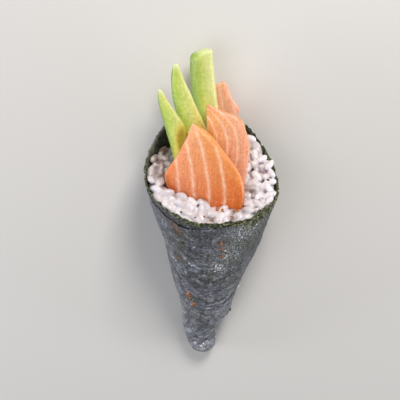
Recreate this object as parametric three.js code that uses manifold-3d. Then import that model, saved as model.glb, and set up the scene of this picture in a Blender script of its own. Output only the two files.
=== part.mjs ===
// Salmon temaki: a cone of seaweed filled with rice, with salmon and avocado standing in its mouth.
// Millimetres, +Z up. The cone lies on its back, on a narrow flat strip, with the front side up.
//
// All pieces are made in the cone's own frame: x across, y along the axis from the tip to the mouth,
// z towards the front. Angles round the cone are in degrees, 0 at the front and 90 at +x.

import * as THREE from 'three';
import { mergeVertices } from 'three/addons/utils/BufferGeometryUtils.js';
import Module from 'manifold-3d';

const wasm = await Module();
wasm.setup();

// ---- driving dimensions ----

const cone = {
  tipRadius: 5.4,          // outside radius at y = 0
  taper: 0.251,            // radius gained for each mm along the axis
  frontLength: 99.5,       // where the rim stands at its lowest, on the front
  backRise: 18,            // how much higher the rim is at the back
  backRiseTurn: 20,        // angle that the lowest place of the rim is turned by
  backRisePower: 2.4,
  flatDepth: 0.85,         // how deep the resting strip is pressed in
  originAlong: 64,         // where along the axis the origin lies under it
  sway: 1,                 // the cone bends to the right by this
  swayAlong: 67,           // most of all at this height
  swaySpread: 14,
};

const leaf = {
  wall: 1.5,               // all layers together
  turnStep: 0.45,          // how far the free edge stands over the layer below it
  rimInset: 0.45,          // the inner layer shows above the outer one, set back by this
  tipInset: 0.6,           // the inner layer shows below the outer one, set back by this
  seamAngle: 88,           // free edge at its lower corner
  seamTurn: 0.57,          // degrees that the free edge turns for each mm up the cone
  lowerEdge: 22,           // lower edge of the outer layer
  rimBand: 0.6,            // least height of the inner layer above the outer one
  frontBand: 4.9,          // more of it at the front
  frontBandAngle: -27,
  frontBandSpread: 38,
  innerStep: 0.25,         // how much the inner layer's own set-back changes in one turn
  flapLift: 1.3,           // the loose corner of the outer layer stands off by this
  flapWidth: 0.083,        // size of the loose corner round the cone, as a share of a turn
  flapHeight: 7,
  creaseDepth: 0.3,
  creaseTurns: [3, 2],     // two sets of slanting creases cross: how many there are round the cone
  creaseSlants: [4.2, -5], // and how far they turn for each mm up it
  bulges: 2,
  bulgeSlant: 1.6,
  rimWave: 0.5,
  rimWaves: 5,
  mouthFrom: 60,           // the wavy mouth starts here
  mouthPinch: 1.9,         // the mouth is drawn in by this on both sides of its back
  mouthPinchAngle: 125,
  mouthPinchSpread: 28,
  columns: 36,
  tipRings: [-2.7, -1.4, 1.2, 7, 14.5],
  innerTipRings: [14.5, 7, 1.2],
  bodyRings: [0, 0.07, 0.18, 0.31, 0.45, 0.59, 0.73, 0.87, 1],
};

const tip = {
  shoulder: 2.6,           // the tip rounds off below this
  end: -3.5,
  bluntness: 4,            // 2 is an ellipse, more is blunter
  flatness: 0.12,          // the end is pressed thinner from front to back by this share
  sideways: -1.4,          // the tip bends to the left by this, most of all halfway down
  fuller: 1.7,             // the end is this much thicker than the cone would be
};

const gap = 0.4;           // clear space between rice and slices

const riceBed = {
  radius: 30,
  level: 97.6,             // height of the bed in the middle, without the grains
  sideRise: 1.2,           // rises to the right by this over its radius
  backRise: 2.4,
  crown: 0.8,
  lumpHeight: 0.6,
  lumpTurns: [0.55, 0.6],  // radians for each mm across and from back to front
  mounds: [                // place across and to the front, height and spread
    [4, 15, -1.8, 9],      // lower in front of the salmon
    [15, -28, 8.5, 13],    // heaped up behind the fillings, on the right
    [28, -12, 5, 7.5],
    [-27, -20, 10, 12],    // and against the leaf on the left
    [-30, 5, 6.5, 12],
    [-31, -7, 4, 7],
    [-18, 22, 2.4, 8],
    [-12.5, 15, 2.2, 5.5], // pressed up at the foot of the front slice
  ],
  bottom: 3.4,
  bottomRing: 4.9,
  clear: 0.8,              // clear space to the leaf, more than the gap because facets cut corners
  sideRings: 8,
  sideCrowding: 1.6,       // above 1, the rings stand closer together towards the tip
  topRings: 5,
  columns: 36,
};

const grain = {
  count: 140,
  length: 7,
  width: 4,
  thickness: 3.6,
  spacing: 4.1,
  sides: 6,
  over: 0.45,              // height of a grain's middle over the bed
  sizes: [0.85, 1.1],
  leans: [25, 22],         // most that a grain leans, in degrees
  sliceMargin: 0.6,        // no grain's middle comes nearer to a slice
  reach: 0.98,             // grains lie this far out, as a share of the bed's radius
  tries: 6000,
  seed: 20250,
};

// Each slice lies on a sheet that starts upright at its foot and leans back further up. foot is a point
// of its front face level with the rice, lean and bend are in degrees and degrees per mm, rootLean is the
// lean of the part in the rice, and turn swings its right side forward, in degrees. bow is how far its
// sides fall back. A wedge's front has a ridge, at a share of the width, with its left side falling back
// by a share of the thickness. Each row of an outline is [height, left edge, right edge, thickness].

const salmonSlices = {
  salmon_front: {
    foot: [0, 100, 13], lean: 12, bend: 0.7, rootLean: 1.5, turn: 12, bow: 1.3, ridge: 1, fall: 0,
    outline: [
      [-36, -7, 6, 3.6], [-20, -13, 9.5, 4.4], [-4, -18.5, 13.6, 4.6], [2, -22.4, 13.8, 4.6],
      [6.5, -23.7, 13.3, 4.5], [12, -21.4, 11.3, 4.4], [17, -19, 7.6, 4.3], [22, -17.3, 2.4, 4.2],
      [27.5, -15.8, -3.2, 3.8], [31, -15.2, -8.4, 3.2], [33, -14.6, -13.2, 2.4],
    ],
  },
  salmon_middle: {
    foot: [5, 100, 5], lean: 11, bend: 0.62, rootLean: 2.5, turn: 4, bow: 0.9, ridge: 1, fall: 0,
    outline: [
      [-36, -4, 6, 3.4], [-20, -8, 8.5, 4.2], [0, -10, 9.4, 4.4], [10, -10.5, 9.8, 4.4],
      [21, -10.4, 10, 4.3], [29, -10.6, 7.3, 4], [34.2, -11.1, 4, 3.4], [36.4, -11.3, -4, 3],
      [38.6, -11.6, -9.8, 2.2],
    ],
  },
  salmon_rear: {
    foot: [5, 100, -22], lean: 8, bend: 0.15, rootLean: 14.5, turn: 0, bow: 0.4, ridge: 1, fall: 0,
    outline: [
      [-36, -5, 3, 3.2], [-18, -6, 4, 3.6], [0, -6, 5, 3.8], [20, -7.2, 4.9, 3.8],
      [23, -7.5, 5.3, 3.8], [27.6, -8, 1.9, 3.7], [32.4, -8, -0.3, 3.4], [36, -4, -2.2, 2.2],
    ],
  },
};

const avocadoSlices = {
  avocado_left: {
    foot: [-10, 100, 3], lean: 14, bend: 0.3, rootLean: 5.3, turn: 0, bow: 0, ridge: 0.25, fall: 0.3,
    outline: [
      [-36, 0, 8, 3.5], [-18, -3, 6, 4.2], [0, -6.5, 3.4, 4.6], [13, -9.2, 0.5, 4.8],
      [27, -13.8, -4.2, 4.8], [37, -16.7, -11.4, 4], [43.6, -17.5, -15.7, 2.4],
    ],
  },
  avocado_middle: {
    foot: [-6, 100, -5], lean: 12, bend: 0.2, rootLean: 8.3, turn: 0, bow: 0, ridge: 0.25, fall: 0.3,
    outline: [
      [-36, -5, 6, 3.5], [-18, -7, 5.5, 4.4], [0, -8.5, 5.5, 4.8], [20, -11, 2.2, 5],
      [27, -12.5, -0.9, 5], [36, -14.9, -5.5, 5], [45, -15.8, -10, 4.2], [51.6, -15.3, -12.9, 2.4],
    ],
  },
  avocado_tall: {
    foot: [-2, 100, -13], lean: 9, bend: 0.1, rootLean: 12, turn: 0, bow: 0, ridge: 0.4, fall: 0.6,
    outline: [
      [-36, -4, 6, 5], [-18, -5, 6, 6], [8, -7.5, 5, 6.8], [24, -9.4, 3, 7.2],
      [37, -11, 0.8, 7.4], [48, -11.9, -1, 7.2], [52.6, -11.2, -1.6, 6.6], [55.6, -6.2, -2, 5.6],
    ],
  },
};

const sliceGrid = {
  rows: 14,
  sides: 14,
  steps: 24,               // steps that the bend of a sheet is summed in
  rootBlend: 10,           // depth in the rice at which a slice takes its root's lean
  squareness: [0.5, 0.6],  // of a section's sides and faces, 1 is an ellipse and 0 a box
};

const colours = {
  leaf: '#3b3f3c',
  rice: '#e4dcda',
  salmon: '#ee9a66',
  avocado: '#c0d268',
};

// ---- numbers and directions ----

const tilt = Math.atan(cone.taper);
const layDown = cone.tipRadius * Math.cos(tilt) - cone.flatDepth;

function radians(degrees) {
  return THREE.MathUtils.degToRad(degrees);
}

// The shorter way round from one angle to the other, in degrees.
function turnBetween(angle, other) {
  return THREE.MathUtils.euclideanModulo(angle - other + 180, 360) - 180;
}

// Random numbers from 0 to 1 that are the same each time.
function makeRandom(seed) {
  let state = seed;
  return function next() {
    state = (state * 1664525 + 1013904223) % 4294967296;
    return state / 4294967296;
  };
}

function mix(low, high, share) {
  return low + (high - low) * share;
}

// ---- solids ----

// A closed skin over rings of points, shut at both ends by a point.
function wrapRings(start, rings, end) {
  const size = rings[0].length;
  const points = [start, ...rings.flat(), end];
  const faces = [];
  const at = (ring, place) => 1 + ring * size + (place % size);
  for (let place = 0; place < size; place += 1) {
    faces.push(0, at(0, place), at(0, place + 1));
    faces.push(points.length - 1, at(rings.length - 1, place + 1), at(rings.length - 1, place));
  }
  for (let ring = 0; ring + 1 < rings.length; ring += 1) {
    for (let place = 0; place < size; place += 1) {
      faces.push(at(ring, place), at(ring + 1, place), at(ring + 1, place + 1));
      faces.push(at(ring, place), at(ring + 1, place + 1), at(ring, place + 1));
    }
  }
  const geometry = new THREE.BufferGeometry().setFromPoints(points);
  geometry.setIndex(faces);
  return faceOut(geometry);
}

// Turns every face over if the skin encloses its space inside out.
function faceOut(geometry) {
  const place = geometry.getAttribute('position');
  const index = geometry.getIndex().array;
  const a = new THREE.Vector3();
  const b = new THREE.Vector3();
  const c = new THREE.Vector3();
  let volume = 0;
  for (let i = 0; i < index.length; i += 3) {
    a.fromBufferAttribute(place, index[i]);
    b.fromBufferAttribute(place, index[i + 1]);
    c.fromBufferAttribute(place, index[i + 2]);
    volume += a.dot(b.cross(c));
  }
  if (volume < 0) {
    geometry.setIndex(Array.from(index).reverse());
  }
  return geometry;
}

function toSolid(geometry) {
  const plain = geometry.clone();
  plain.deleteAttribute('normal');
  plain.deleteAttribute('uv');
  const merged = mergeVertices(plain, 1e-4);
  return new wasm.Manifold(new wasm.Mesh({
    numProp: 3,
    vertProperties: new Float32Array(merged.getAttribute('position').array),
    triVerts: new Uint32Array(merged.getIndex().array),
  }));
}

function toGeometry(solid) {
  const mesh = solid.getMesh();
  const geometry = new THREE.BufferGeometry();
  geometry.setAttribute('position', new THREE.BufferAttribute(mesh.vertProperties, 3));
  geometry.setIndex(new THREE.BufferAttribute(mesh.triVerts, 1));
  return geometry;
}

function makeMesh(name, geometry, colour, roughness) {
  const material = new THREE.MeshStandardMaterial({ color: colour, roughness, metalness: 0 });
  const mesh = new THREE.Mesh(geometry, material);
  mesh.name = name;
  geometry.computeVertexNormals();
  return mesh;
}

// ---- the cone's skin ----

// Outside radius of the plain cone.
function coneRadius(along) {
  return cone.tipRadius + cone.taper * along;
}

// Radius of the tip's closed end as a share of the cone's there.
function tipShare(along) {
  const down = THREE.MathUtils.clamp((tip.shoulder - along) / (tip.shoulder - tip.end), 0, 1);
  return (1 - down ** tip.bluntness) ** (1 / tip.bluntness);
}

// Height of the rim at an angle.
function rimHeight(angle) {
  const turned = (1 - Math.cos(radians(angle - cone.backRiseTurn))) / 2;
  const ripple = 0.5 * Math.sin(radians(3 * angle + 40)) + 0.35 * Math.sin(radians(7 * angle));
  return cone.frontLength + cone.backRise * turned ** cone.backRisePower + ripple;
}

// Height of the outer layer's upper edge at an angle.
function outerTop(angle) {
  const off = turnBetween(angle, leaf.frontBandAngle) / leaf.frontBandSpread;
  return rimHeight(angle) - leaf.rimBand - leaf.frontBand * Math.exp(-off * off);
}

// Height of the outer layer's lower edge at an angle: it dips towards the free corner.
function outerBottom(angle) {
  return leaf.lowerEdge + 1.6 * Math.cos(radians(turnBetween(angle, 5)));
}

// Slanting creases and the wavy rim, in mm outwards. All layers bend together.
function leafRelief(angle, along) {
  const slanted = (turns, slant, start) => Math.sin(radians(turns * angle + slant * along + start));
  const crease = slanted(leaf.creaseTurns[0], leaf.creaseSlants[0], 0)
    * slanted(leaf.creaseTurns[1], leaf.creaseSlants[1], 30);
  const bulge = 0.5 * slanted(leaf.bulges, leaf.bulgeSlant, 60);
  const body = leaf.creaseDepth * THREE.MathUtils.smoothstep(along, tip.shoulder, leaf.lowerEdge + 8);
  const wave = leaf.rimWave * slanted(leaf.rimWaves, 0, 70);
  const off = (Math.abs(turnBetween(angle, 0)) - leaf.mouthPinchAngle) / leaf.mouthPinchSpread;
  const mouth = THREE.MathUtils.smoothstep(along, leaf.mouthFrom, cone.frontLength);
  return body * (crease + bulge) + mouth * (wave - leaf.mouthPinch * Math.exp(-off * off));
}

// A point of the skin, inset under the outside and pressed flat where the cone rests. The turns of the
// outer layer lie on one another there, so its own inset doesn't lift it.
function skinPoint(angle, along, inset, lift = 0) {
  const low = 1 - THREE.MathUtils.clamp(along / leaf.lowerEdge, 0, 1);
  const plain = coneRadius(along) + leafRelief(angle, along) + lift - inset + tip.fuller * low;
  const radius = plain * tipShare(along);
  const far = (along - cone.swayAlong) / cone.swaySpread;
  const bend = tip.sideways * Math.sin(Math.PI * low) + cone.sway * Math.exp(-far * far);
  const x = radius * Math.sin(radians(angle)) + bend;
  const front = radius * Math.cos(radians(angle)) * (1 - tip.flatness * low);
  const floor = cone.flatDepth / Math.cos(tilt) - coneRadius(along) + Math.max(0, inset - leaf.turnStep);
  return new THREE.Vector3(x, along, Math.max(front, floor));
}

// Angle of the outer layer's free edge at a height.
function seamAngle(along) {
  return leaf.seamAngle + leaf.seamTurn * (along - leaf.lowerEdge);
}

// One ring round the cone, from the free edge once round to the place under it. heightAt gives the height
// at an angle, insetAt the inset at a share of the turn, and lift how far the loose corner stands off.
function leafRing(heightAt, insetAt, lift = 0) {
  const ring = [];
  for (let column = 0; column <= leaf.columns; column += 1) {
    const share = column / leaf.columns;
    const near = seamAngle(leaf.mouthFrom) + 360 * share;
    const angle = seamAngle(heightAt(near)) + 360 * share;
    const along = heightAt(angle);
    const across = (1 - share) / leaf.flapWidth;
    const up = (along - leaf.lowerEdge) / leaf.flapHeight;
    const standsOff = lift * Math.exp(-across * across - up * up);
    ring.push(skinPoint(angle, along, insetAt(share), standsOff));
  }
  return ring;
}

function makeLeaf() {
  const outer = (share) => leaf.turnStep * (1 - share);
  const atRim = (share) => leaf.rimInset + leaf.innerStep * (1 - share);
  const atTip = (share) => leaf.tipInset + leaf.innerStep * (1 - share);
  const inner = () => leaf.wall;
  const bodyHeight = (part) => (angle) => mix(outerBottom(angle), outerTop(angle), part);
  const rings = [
    ...leaf.tipRings.map((level) => leafRing(() => level, atTip)),
    leafRing(outerBottom, atTip),
    ...leaf.bodyRings.map((part) => leafRing(bodyHeight(part), outer, leaf.flapLift)),
    leafRing(outerTop, atRim),
    leafRing(rimHeight, atRim),
    leafRing(rimHeight, inner),
    ...leaf.bodyRings.toReversed().map((part) => leafRing(bodyHeight(part), inner)),
    ...leaf.innerTipRings.map((level) => leafRing(() => level, inner)),
  ];
  const start = new THREE.Vector3(0, tip.end, 0);
  const end = new THREE.Vector3(0, leaf.innerTipRings.at(-1) - leaf.wall, 0);
  return wrapRings(start, rings, end);
}

// ---- slices ----

// Runs a smooth line through rows of numbers and returns the row at a height.
function outlineRow(outline, height) {
  const inside = THREE.MathUtils.clamp(height, outline[0][0], outline.at(-1)[0]);
  const last = Math.max(1, outline.findIndex((row) => row[0] >= inside));
  const [low, high] = [outline[last - 1], outline[last]];
  const before = outline[last - 2] ?? low;
  const after = outline[last + 1] ?? high;
  const share = (inside - low[0]) / (high[0] - low[0]);
  return low.map((value, i) => {
    const slopeLow = (high[i] - before[i]) / (high[0] - before[0]) * (high[0] - low[0]);
    const slopeHigh = (after[i] - value) / (after[0] - low[0]) * (high[0] - low[0]);
    const square = share * share;
    const cube = square * share;
    return (2 * cube - 3 * square + 1) * value + (cube - 2 * square + share) * slopeLow
      + (3 * square - 2 * cube) * high[i] + (cube - square) * slopeHigh;
  });
}

// A point of a slice's sheet: across, height along the sheet, and depth behind its front face.
function sheetPoint(slice, across, height, depth) {
  const step = height / sliceGrid.steps;
  let [along, back, lean] = [0, 0, slice.lean];
  for (let i = 0; i < sliceGrid.steps; i += 1) {
    const here = step * (i + 0.5);
    const rooted = Math.min(1, -here / sliceGrid.rootBlend);
    lean = here > 0 ? slice.lean + slice.bend * here : mix(slice.lean, slice.rootLean, rooted);
    along += Math.cos(radians(lean)) * step;
    back += Math.sin(radians(lean)) * step;
  }
  back += depth * Math.cos(radians(lean));
  along -= depth * Math.sin(radians(lean));
  const turn = radians(slice.turn);
  const [x, y, z] = slice.foot;
  return new THREE.Vector3(
    x + across * Math.cos(turn) + back * Math.sin(turn),
    y + along,
    z + across * Math.sin(turn) - back * Math.cos(turn),
  );
}

// One section of a slice, a rounded oblong. grow makes it larger all round.
function sliceSection(slice, height, grow) {
  const [, left, right, thickness] = outlineRow(slice.outline, height);
  const ring = [];
  for (let side = 0; side < sliceGrid.sides; side += 1) {
    const turn = radians(360 * (side + 0.5) / sliceGrid.sides);
    const [sin, cos] = [Math.sin(turn), Math.cos(turn)];
    const wide = Math.sign(cos) * Math.abs(cos) ** sliceGrid.squareness[0];
    const deep = Math.sign(sin) * Math.abs(sin) ** sliceGrid.squareness[1];
    const [share, backness] = [(wide + 1) / 2, (deep + 1) / 2];
    const leftOfRidge = Math.max(0, 1 - share / slice.ridge) * (1 - backness);
    const fall = slice.bow * wide * wide + slice.fall * thickness * leftOfRidge;
    const depth = backness * thickness + fall + grow * deep;
    ring.push(sheetPoint(slice, mix(left, right, share) + grow * wide, height, depth));
  }
  return ring;
}

function makeSlice(slice, grow) {
  const bottom = slice.outline[0][0] - grow;
  const top = slice.outline.at(-1)[0] + grow;
  const rings = [];
  for (let row = 0; row <= sliceGrid.rows; row += 1) {
    rings.push(sliceSection(slice, mix(bottom, top, row / sliceGrid.rows), grow));
  }
  const middle = (ring) => ring.reduce((sum, point) => sum.add(point), new THREE.Vector3())
    .divideScalar(ring.length);
  return wrapRings(middle(rings[0]), rings, middle(rings.at(-1)));
}

// ---- rice ----

// Height of the rice bed at a place across the mouth.
function bedHeight(x, front) {
  const round = (x * x + front * front) / riceBed.radius ** 2;
  const lumps = riceBed.lumpHeight * Math.sin(x * riceBed.lumpTurns[0] + 1)
    * Math.cos(front * riceBed.lumpTurns[1] + 0.4);
  const slope = (riceBed.sideRise * x - riceBed.backRise * front) / riceBed.radius;
  const crown = riceBed.crown * (1 - round);
  const heaped = riceBed.mounds.reduce((sum, [left, ahead, height, spread]) => {
    return sum + height * Math.exp(-((x - left) ** 2 + (front - ahead) ** 2) / spread ** 2);
  }, 0);
  return riceBed.level + slope + crown + lumps + heaped;
}

// A place on the bed at an angle and a share of its radius.
function bedPoint(angle, share, above) {
  let height = riceBed.level;
  let point = skinPoint(angle, height, leaf.wall + riceBed.clear);
  for (let i = 0; i < 3; i += 1) {
    height = bedHeight(point.x * share, point.z * share);
    point = skinPoint(angle, height, leaf.wall + riceBed.clear);
  }
  return new THREE.Vector3(point.x * share, height + above, point.z * share);
}

function makeBed() {
  const rings = [];
  const angles = Array.from({ length: riceBed.columns }, (_, i) => 360 * i / riceBed.columns);
  for (let ring = 0; ring <= riceBed.sideRings; ring += 1) {
    const share = (ring / riceBed.sideRings) ** riceBed.sideCrowding;
    rings.push(angles.map((angle) => {
      const top = bedPoint(angle, 1, 0).y;
      return skinPoint(angle, mix(riceBed.bottomRing, top, share), leaf.wall + riceBed.clear);
    }));
  }
  for (let ring = 1; ring < riceBed.topRings; ring += 1) {
    const share = 1 - ring / riceBed.topRings;
    rings.push(angles.map((angle) => bedPoint(angle, share, 0)));
  }
  const start = new THREE.Vector3(0, riceBed.bottom, 0);
  const end = new THREE.Vector3(0, bedHeight(0, 0), 0);
  return wrapRings(start, rings, end);
}

// Whether a place is inside the cone with room to spare.
function insideCone(point, room) {
  const angle = THREE.MathUtils.radToDeg(Math.atan2(point.x, point.z));
  const wall = skinPoint(angle, point.y, leaf.wall);
  return Math.hypot(point.x, point.z) < Math.hypot(wall.x, wall.z) - room;
}

// A grain: a six-sided rod with pointed ends, lying near level in a random direction.
function grainGeometry(random, place) {
  const size = mix(...grain.sizes, random());
  const ringAt = (x) => Array.from({ length: grain.sides }, (_, i) => {
    const turn = radians(360 * i / grain.sides);
    return new THREE.Vector3(x, Math.cos(turn) * grain.width / 2, Math.sin(turn) * grain.thickness / 2);
  });
  const end = grain.length / 2;
  const shape = wrapRings(
    new THREE.Vector3(-end, 0, 0),
    [ringAt(-0.5 * end), ringAt(0.5 * end)],
    new THREE.Vector3(end, 0, 0),
  );
  shape.scale(size, size, size);
  const [rollOver, nod] = grain.leans.map((most) => radians(mix(-most, most, random())));
  const turn = new THREE.Euler(rollOver, nod, radians(random() * 360));
  shape.applyMatrix4(new THREE.Matrix4().makeRotationFromEuler(turn));
  shape.rotateX(radians(-90));
  shape.translate(place.x, place.y, place.z);
  return shape;
}

// Moves a grain towards the axis until all of it is inside the cone.
function pullInside(shape) {
  const point = new THREE.Vector3();
  const corners = shape.getAttribute('position');
  const centre = shape.boundingSphere.center.clone();
  const inwards = new THREE.Vector3(-centre.x, 0, -centre.z).normalize().multiplyScalar(0.25);
  for (let step = 0; step < 24; step += 1) {
    let fits = true;
    for (let i = 0; i < corners.count; i += 1) {
      point.fromBufferAttribute(corners, i);
      fits = fits && insideCone(point, riceBed.clear);
    }
    if (fits) {
      return true;
    }
    shape.translate(inwards.x, 0, inwards.z);
  }
  return false;
}

// Places for the grains: spread over the bed, at least a spacing apart, away from the slices.
function grainPlaces(random, slices) {
  const places = [];
  for (let tries = 0; tries < grain.tries && places.length < grain.count; tries += 1) {
    const angle = random() * 360;
    const share = Math.sqrt(random());
    const place = bedPoint(angle, share * grain.reach, grain.over);
    const apart = places.every((other) => other.distanceTo(place) > grain.spacing);
    if (apart && !slices.some((slice) => nearSlice(slice, place))) {
      places.push(place);
    }
  }
  return places;
}

// Whether a place on the bed lies in a slice, where no grain fits.
function nearSlice(slice, place) {
  const height = place.y - slice.foot[1];
  const [, left, right, thickness] = outlineRow(slice.outline, height);
  const foot = sheetPoint(slice, 0, height, 0);
  const turn = radians(slice.turn);
  const [x, z] = [place.x - foot.x, place.z - foot.z];
  const across = x * Math.cos(turn) + z * Math.sin(turn);
  const depth = x * Math.sin(turn) - z * Math.cos(turn);
  const margin = grain.sliceMargin;
  return across > left - margin && across < right + margin && depth > -margin
    && depth < thickness + slice.bow + margin;
}

function makeRice(slices) {
  const random = makeRandom(grain.seed);
  let rice = toSolid(makeBed());
  for (const place of grainPlaces(random, slices)) {
    const shape = grainGeometry(random, place);
    shape.computeBoundingSphere();
    if (pullInside(shape)) {
      rice = rice.add(toSolid(shape));
    }
  }
  for (const slice of slices) {
    rice = rice.subtract(toSolid(makeSlice(slice, gap)));
  }
  // Only the largest body is kept: scraps cut loose by the slices are dropped.
  const pieces = rice.decompose();
  pieces.sort((one, other) => other.volume() - one.volume());
  return toGeometry(pieces[0]);
}

// ---- the whole roll ----

const roll = new THREE.Group();
const allSlices = { ...salmonSlices, ...avocadoSlices };

roll.add(makeMesh('nori_wrap', makeLeaf(), colours.leaf, 0.55));
roll.add(makeMesh('rice', makeRice(Object.values(allSlices)), colours.rice, 0.45));
for (const [name, slice] of Object.entries(salmonSlices)) {
  roll.add(makeMesh(name, makeSlice(slice, 0), colours.salmon, 0.4));
}
for (const [name, slice] of Object.entries(avocadoSlices)) {
  roll.add(makeMesh(name, makeSlice(slice, 0), colours.avocado, 0.45));
}

roll.rotation.x = tilt;
roll.position.set(0, -cone.originAlong * Math.cos(tilt), layDown);

const group = new THREE.Group();
group.add(roll);

export default group;
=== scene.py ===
# Salmon temaki: a cone of seaweed lying on its back, with rice, salmon and avocado in its mouth.
# Shapes are worked out in the cone's own frame in millimetres: x across, y along the axis from the tip
# to the mouth, z towards the front. toPart moves them into the part's frame, in metres.

import math
from functools import partial

import bpy
import numpy as np
from mathutils import Matrix, Vector, noise
from mathutils.bvhtree import BVHTree


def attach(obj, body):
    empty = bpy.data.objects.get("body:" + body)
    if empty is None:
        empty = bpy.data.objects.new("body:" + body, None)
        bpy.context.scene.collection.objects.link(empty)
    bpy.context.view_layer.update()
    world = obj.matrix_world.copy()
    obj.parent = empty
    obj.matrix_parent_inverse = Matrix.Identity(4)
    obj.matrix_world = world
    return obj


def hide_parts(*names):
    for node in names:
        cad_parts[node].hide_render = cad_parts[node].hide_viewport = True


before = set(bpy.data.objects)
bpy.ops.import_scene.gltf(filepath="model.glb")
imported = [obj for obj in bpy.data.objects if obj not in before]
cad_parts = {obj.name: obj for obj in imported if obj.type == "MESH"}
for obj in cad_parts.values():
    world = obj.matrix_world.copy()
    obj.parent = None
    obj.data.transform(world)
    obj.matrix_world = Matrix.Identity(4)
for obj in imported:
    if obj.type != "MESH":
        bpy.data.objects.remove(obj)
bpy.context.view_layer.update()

mm = 0.001

cone = {
    "tipRadius": 5.4,      # outside radius at y = 0
    "taper": 0.251,        # radius gained for each mm along the axis
    "frontLength": 99.5,   # where the rim stands at its lowest, on the front
    "backRise": 18,        # how much higher the rim is at the back
    "backRiseTurn": 20,
    "backRisePower": 2.4,
    "flatDepth": 0.85,     # how deep the resting strip is pressed in
    "originAlong": 64,     # where along the axis the part's origin lies
    "sway": 1,             # the cone bends to the right by this
    "swayAlong": 67,
    "swaySpread": 14,
}

halfAngle = math.atan(cone["taper"])
layDown = cone["tipRadius"] * math.cos(halfAngle) - cone["flatDepth"]
coneToPart = Matrix.Rotation(halfAngle, 4, "X")
coneToPart.translation = (0, -cone["originAlong"] * math.cos(halfAngle), layDown)


def toPart(points):
    turn = np.array(coneToPart.to_3x3())
    return (np.asarray(points, float) @ turn.T + np.array(coneToPart.translation)) * mm


def toLinear(colour):
    parts = [int(colour[i:i + 2], 16) / 255 for i in (1, 3, 5)]
    return tuple(p / 12.92 if p < 0.04045 else ((p + 0.055) / 1.055) ** 2.4 for p in parts) + (1.0,)


mainOutput = {"ShaderNodeMix": 2, "ShaderNodeAttribute": 1, "ShaderNodeTexCoord": 3}    # 0 for the others


# Adds a node. A setting goes to a property, or by name or number to an input, and the rest to the inputs
# in order: a value, a hex colour, or another node or output to link. stops are those of a colour ramp.
def addNode(tree, kind, settings, *inputs):
    node = tree.nodes.new("ShaderNode" + kind)
    for key, value in [*settings.items(), *enumerate(inputs)]:
        if isinstance(value, bpy.types.Node):
            value = value.outputs[mainOutput.get(value.bl_idname, 0)]
        if isinstance(value, str) and value.startswith("#"):
            value = toLinear(value)
        if key == "stops":
            while len(node.color_ramp.elements) < len(value):
                node.color_ramp.elements.new(1.0)
            for stop, (place, colour) in zip(node.color_ramp.elements, value):
                stop.position = place
                stop.color = toLinear(colour) if isinstance(colour, str) else (colour, colour, colour, 1)
        elif isinstance(value, bpy.types.NodeSocket):
            tree.links.new(value, node.inputs[key])
        elif isinstance(key, str) and hasattr(node, key):
            setattr(node, key, value)
        else:
            node.inputs[key].default_value = value
    return node


# An empty material and its own addNode.
def newMaterial(name):
    material = bpy.data.materials.new(name)
    material.use_nodes = True
    material.node_tree.nodes.clear()
    return material, partial(addNode, material.node_tree)


# Lays colours over a colour, one after another. A layer has the colour or pattern, how it blends, and the
# patterns that multiply to its strength, each on its own or as (pattern, from, to, new from, new to).
def layColours(add, colour, layers):
    for over, blend, *patterns in layers:
        share, *others = (
            add("MapRange", {}, *part) if isinstance(part, tuple) else part for part in patterns)
        for other in others:
            share = add("Math", {"operation": "MULTIPLY"}, share, other)
        colour = add("Mix", {"data_type": "RGBA", "blend_type": blend, 0: share, 6: colour, 7: over})
    return colour


def addObject(name, data):
    holder = bpy.data.objects.new(name, data)
    bpy.context.scene.collection.objects.link(holder)
    return holder


camera = {
    "target": (-5.4, 89.4, 0),   # what the middle of the picture shows
    "pitch": 38,                 # turned from the front towards the mouth
    "roll": -3.6,
    "distance": 650,
    "lens": 127.17,
}

lights = {                       # right, up and towards the camera, as the camera sees it, in metres
    "key": {"place": (0.16, 0.36, 0.68), "size": 0.26, "power": 5.0, "colour": "#fffaf4"},
    "fill": {"place": (-0.36, -0.22, 0.66), "size": 0.6, "power": 1.5, "colour": "#f4f7ff"},
    "leftEdge": {"place": (-0.58, -0.06, 0.04), "size": 0.25, "power": 1.8, "colour": "#f4f5ff"},
    "rightEdge": {"place": (0.58, -0.12, 0.0), "size": 0.25, "power": 2.0, "colour": "#f4f5ff"},
}

studio = {"air": "#eef0f4", "airStrength": 0.3, "floor": "#d8d6d2", "floorSize": 4.0, "orangePeel": 1.2}


def placeCameraAndLights():
    pitch, roll = math.radians(camera["pitch"]), math.radians(camera["roll"])
    across = Vector((1, 0, 0))
    upwards = Vector((0, math.cos(pitch), -math.sin(pitch)))
    turn = coneToPart.to_3x3()
    right = turn @ (across * math.cos(roll) - upwards * math.sin(roll))
    up = turn @ (across * math.sin(roll) + upwards * math.cos(roll))
    back = turn @ Vector((0, math.sin(pitch), math.cos(pitch)))
    target = Vector(toPart([camera["target"]])[0])

    data = bpy.data.cameras.new("camera")
    data.lens = camera["lens"]
    data.sensor_width = 36
    data.clip_start = 0.02
    data.clip_end = 20
    holder = addObject("camera", data)
    place = target + back * camera["distance"] * mm
    holder.matrix_world = Matrix.Translation(place) @ Matrix((right, up, back)).transposed().to_4x4()
    bpy.context.scene.camera = holder

    for name, light in lights.items():
        data = bpy.data.lights.new(name, "AREA")
        data.shape = "DISK"
        data.size = light["size"]
        data.energy = light["power"]
        data.color = toLinear(light["colour"])[:3]
        x, y, z = light["place"]
        offset = right * x + up * y + back * z
        holder = addObject(name, data)
        holder.location = target + offset
        holder.rotation_euler = offset.to_track_quat("Z", "Y").to_euler()


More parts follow.
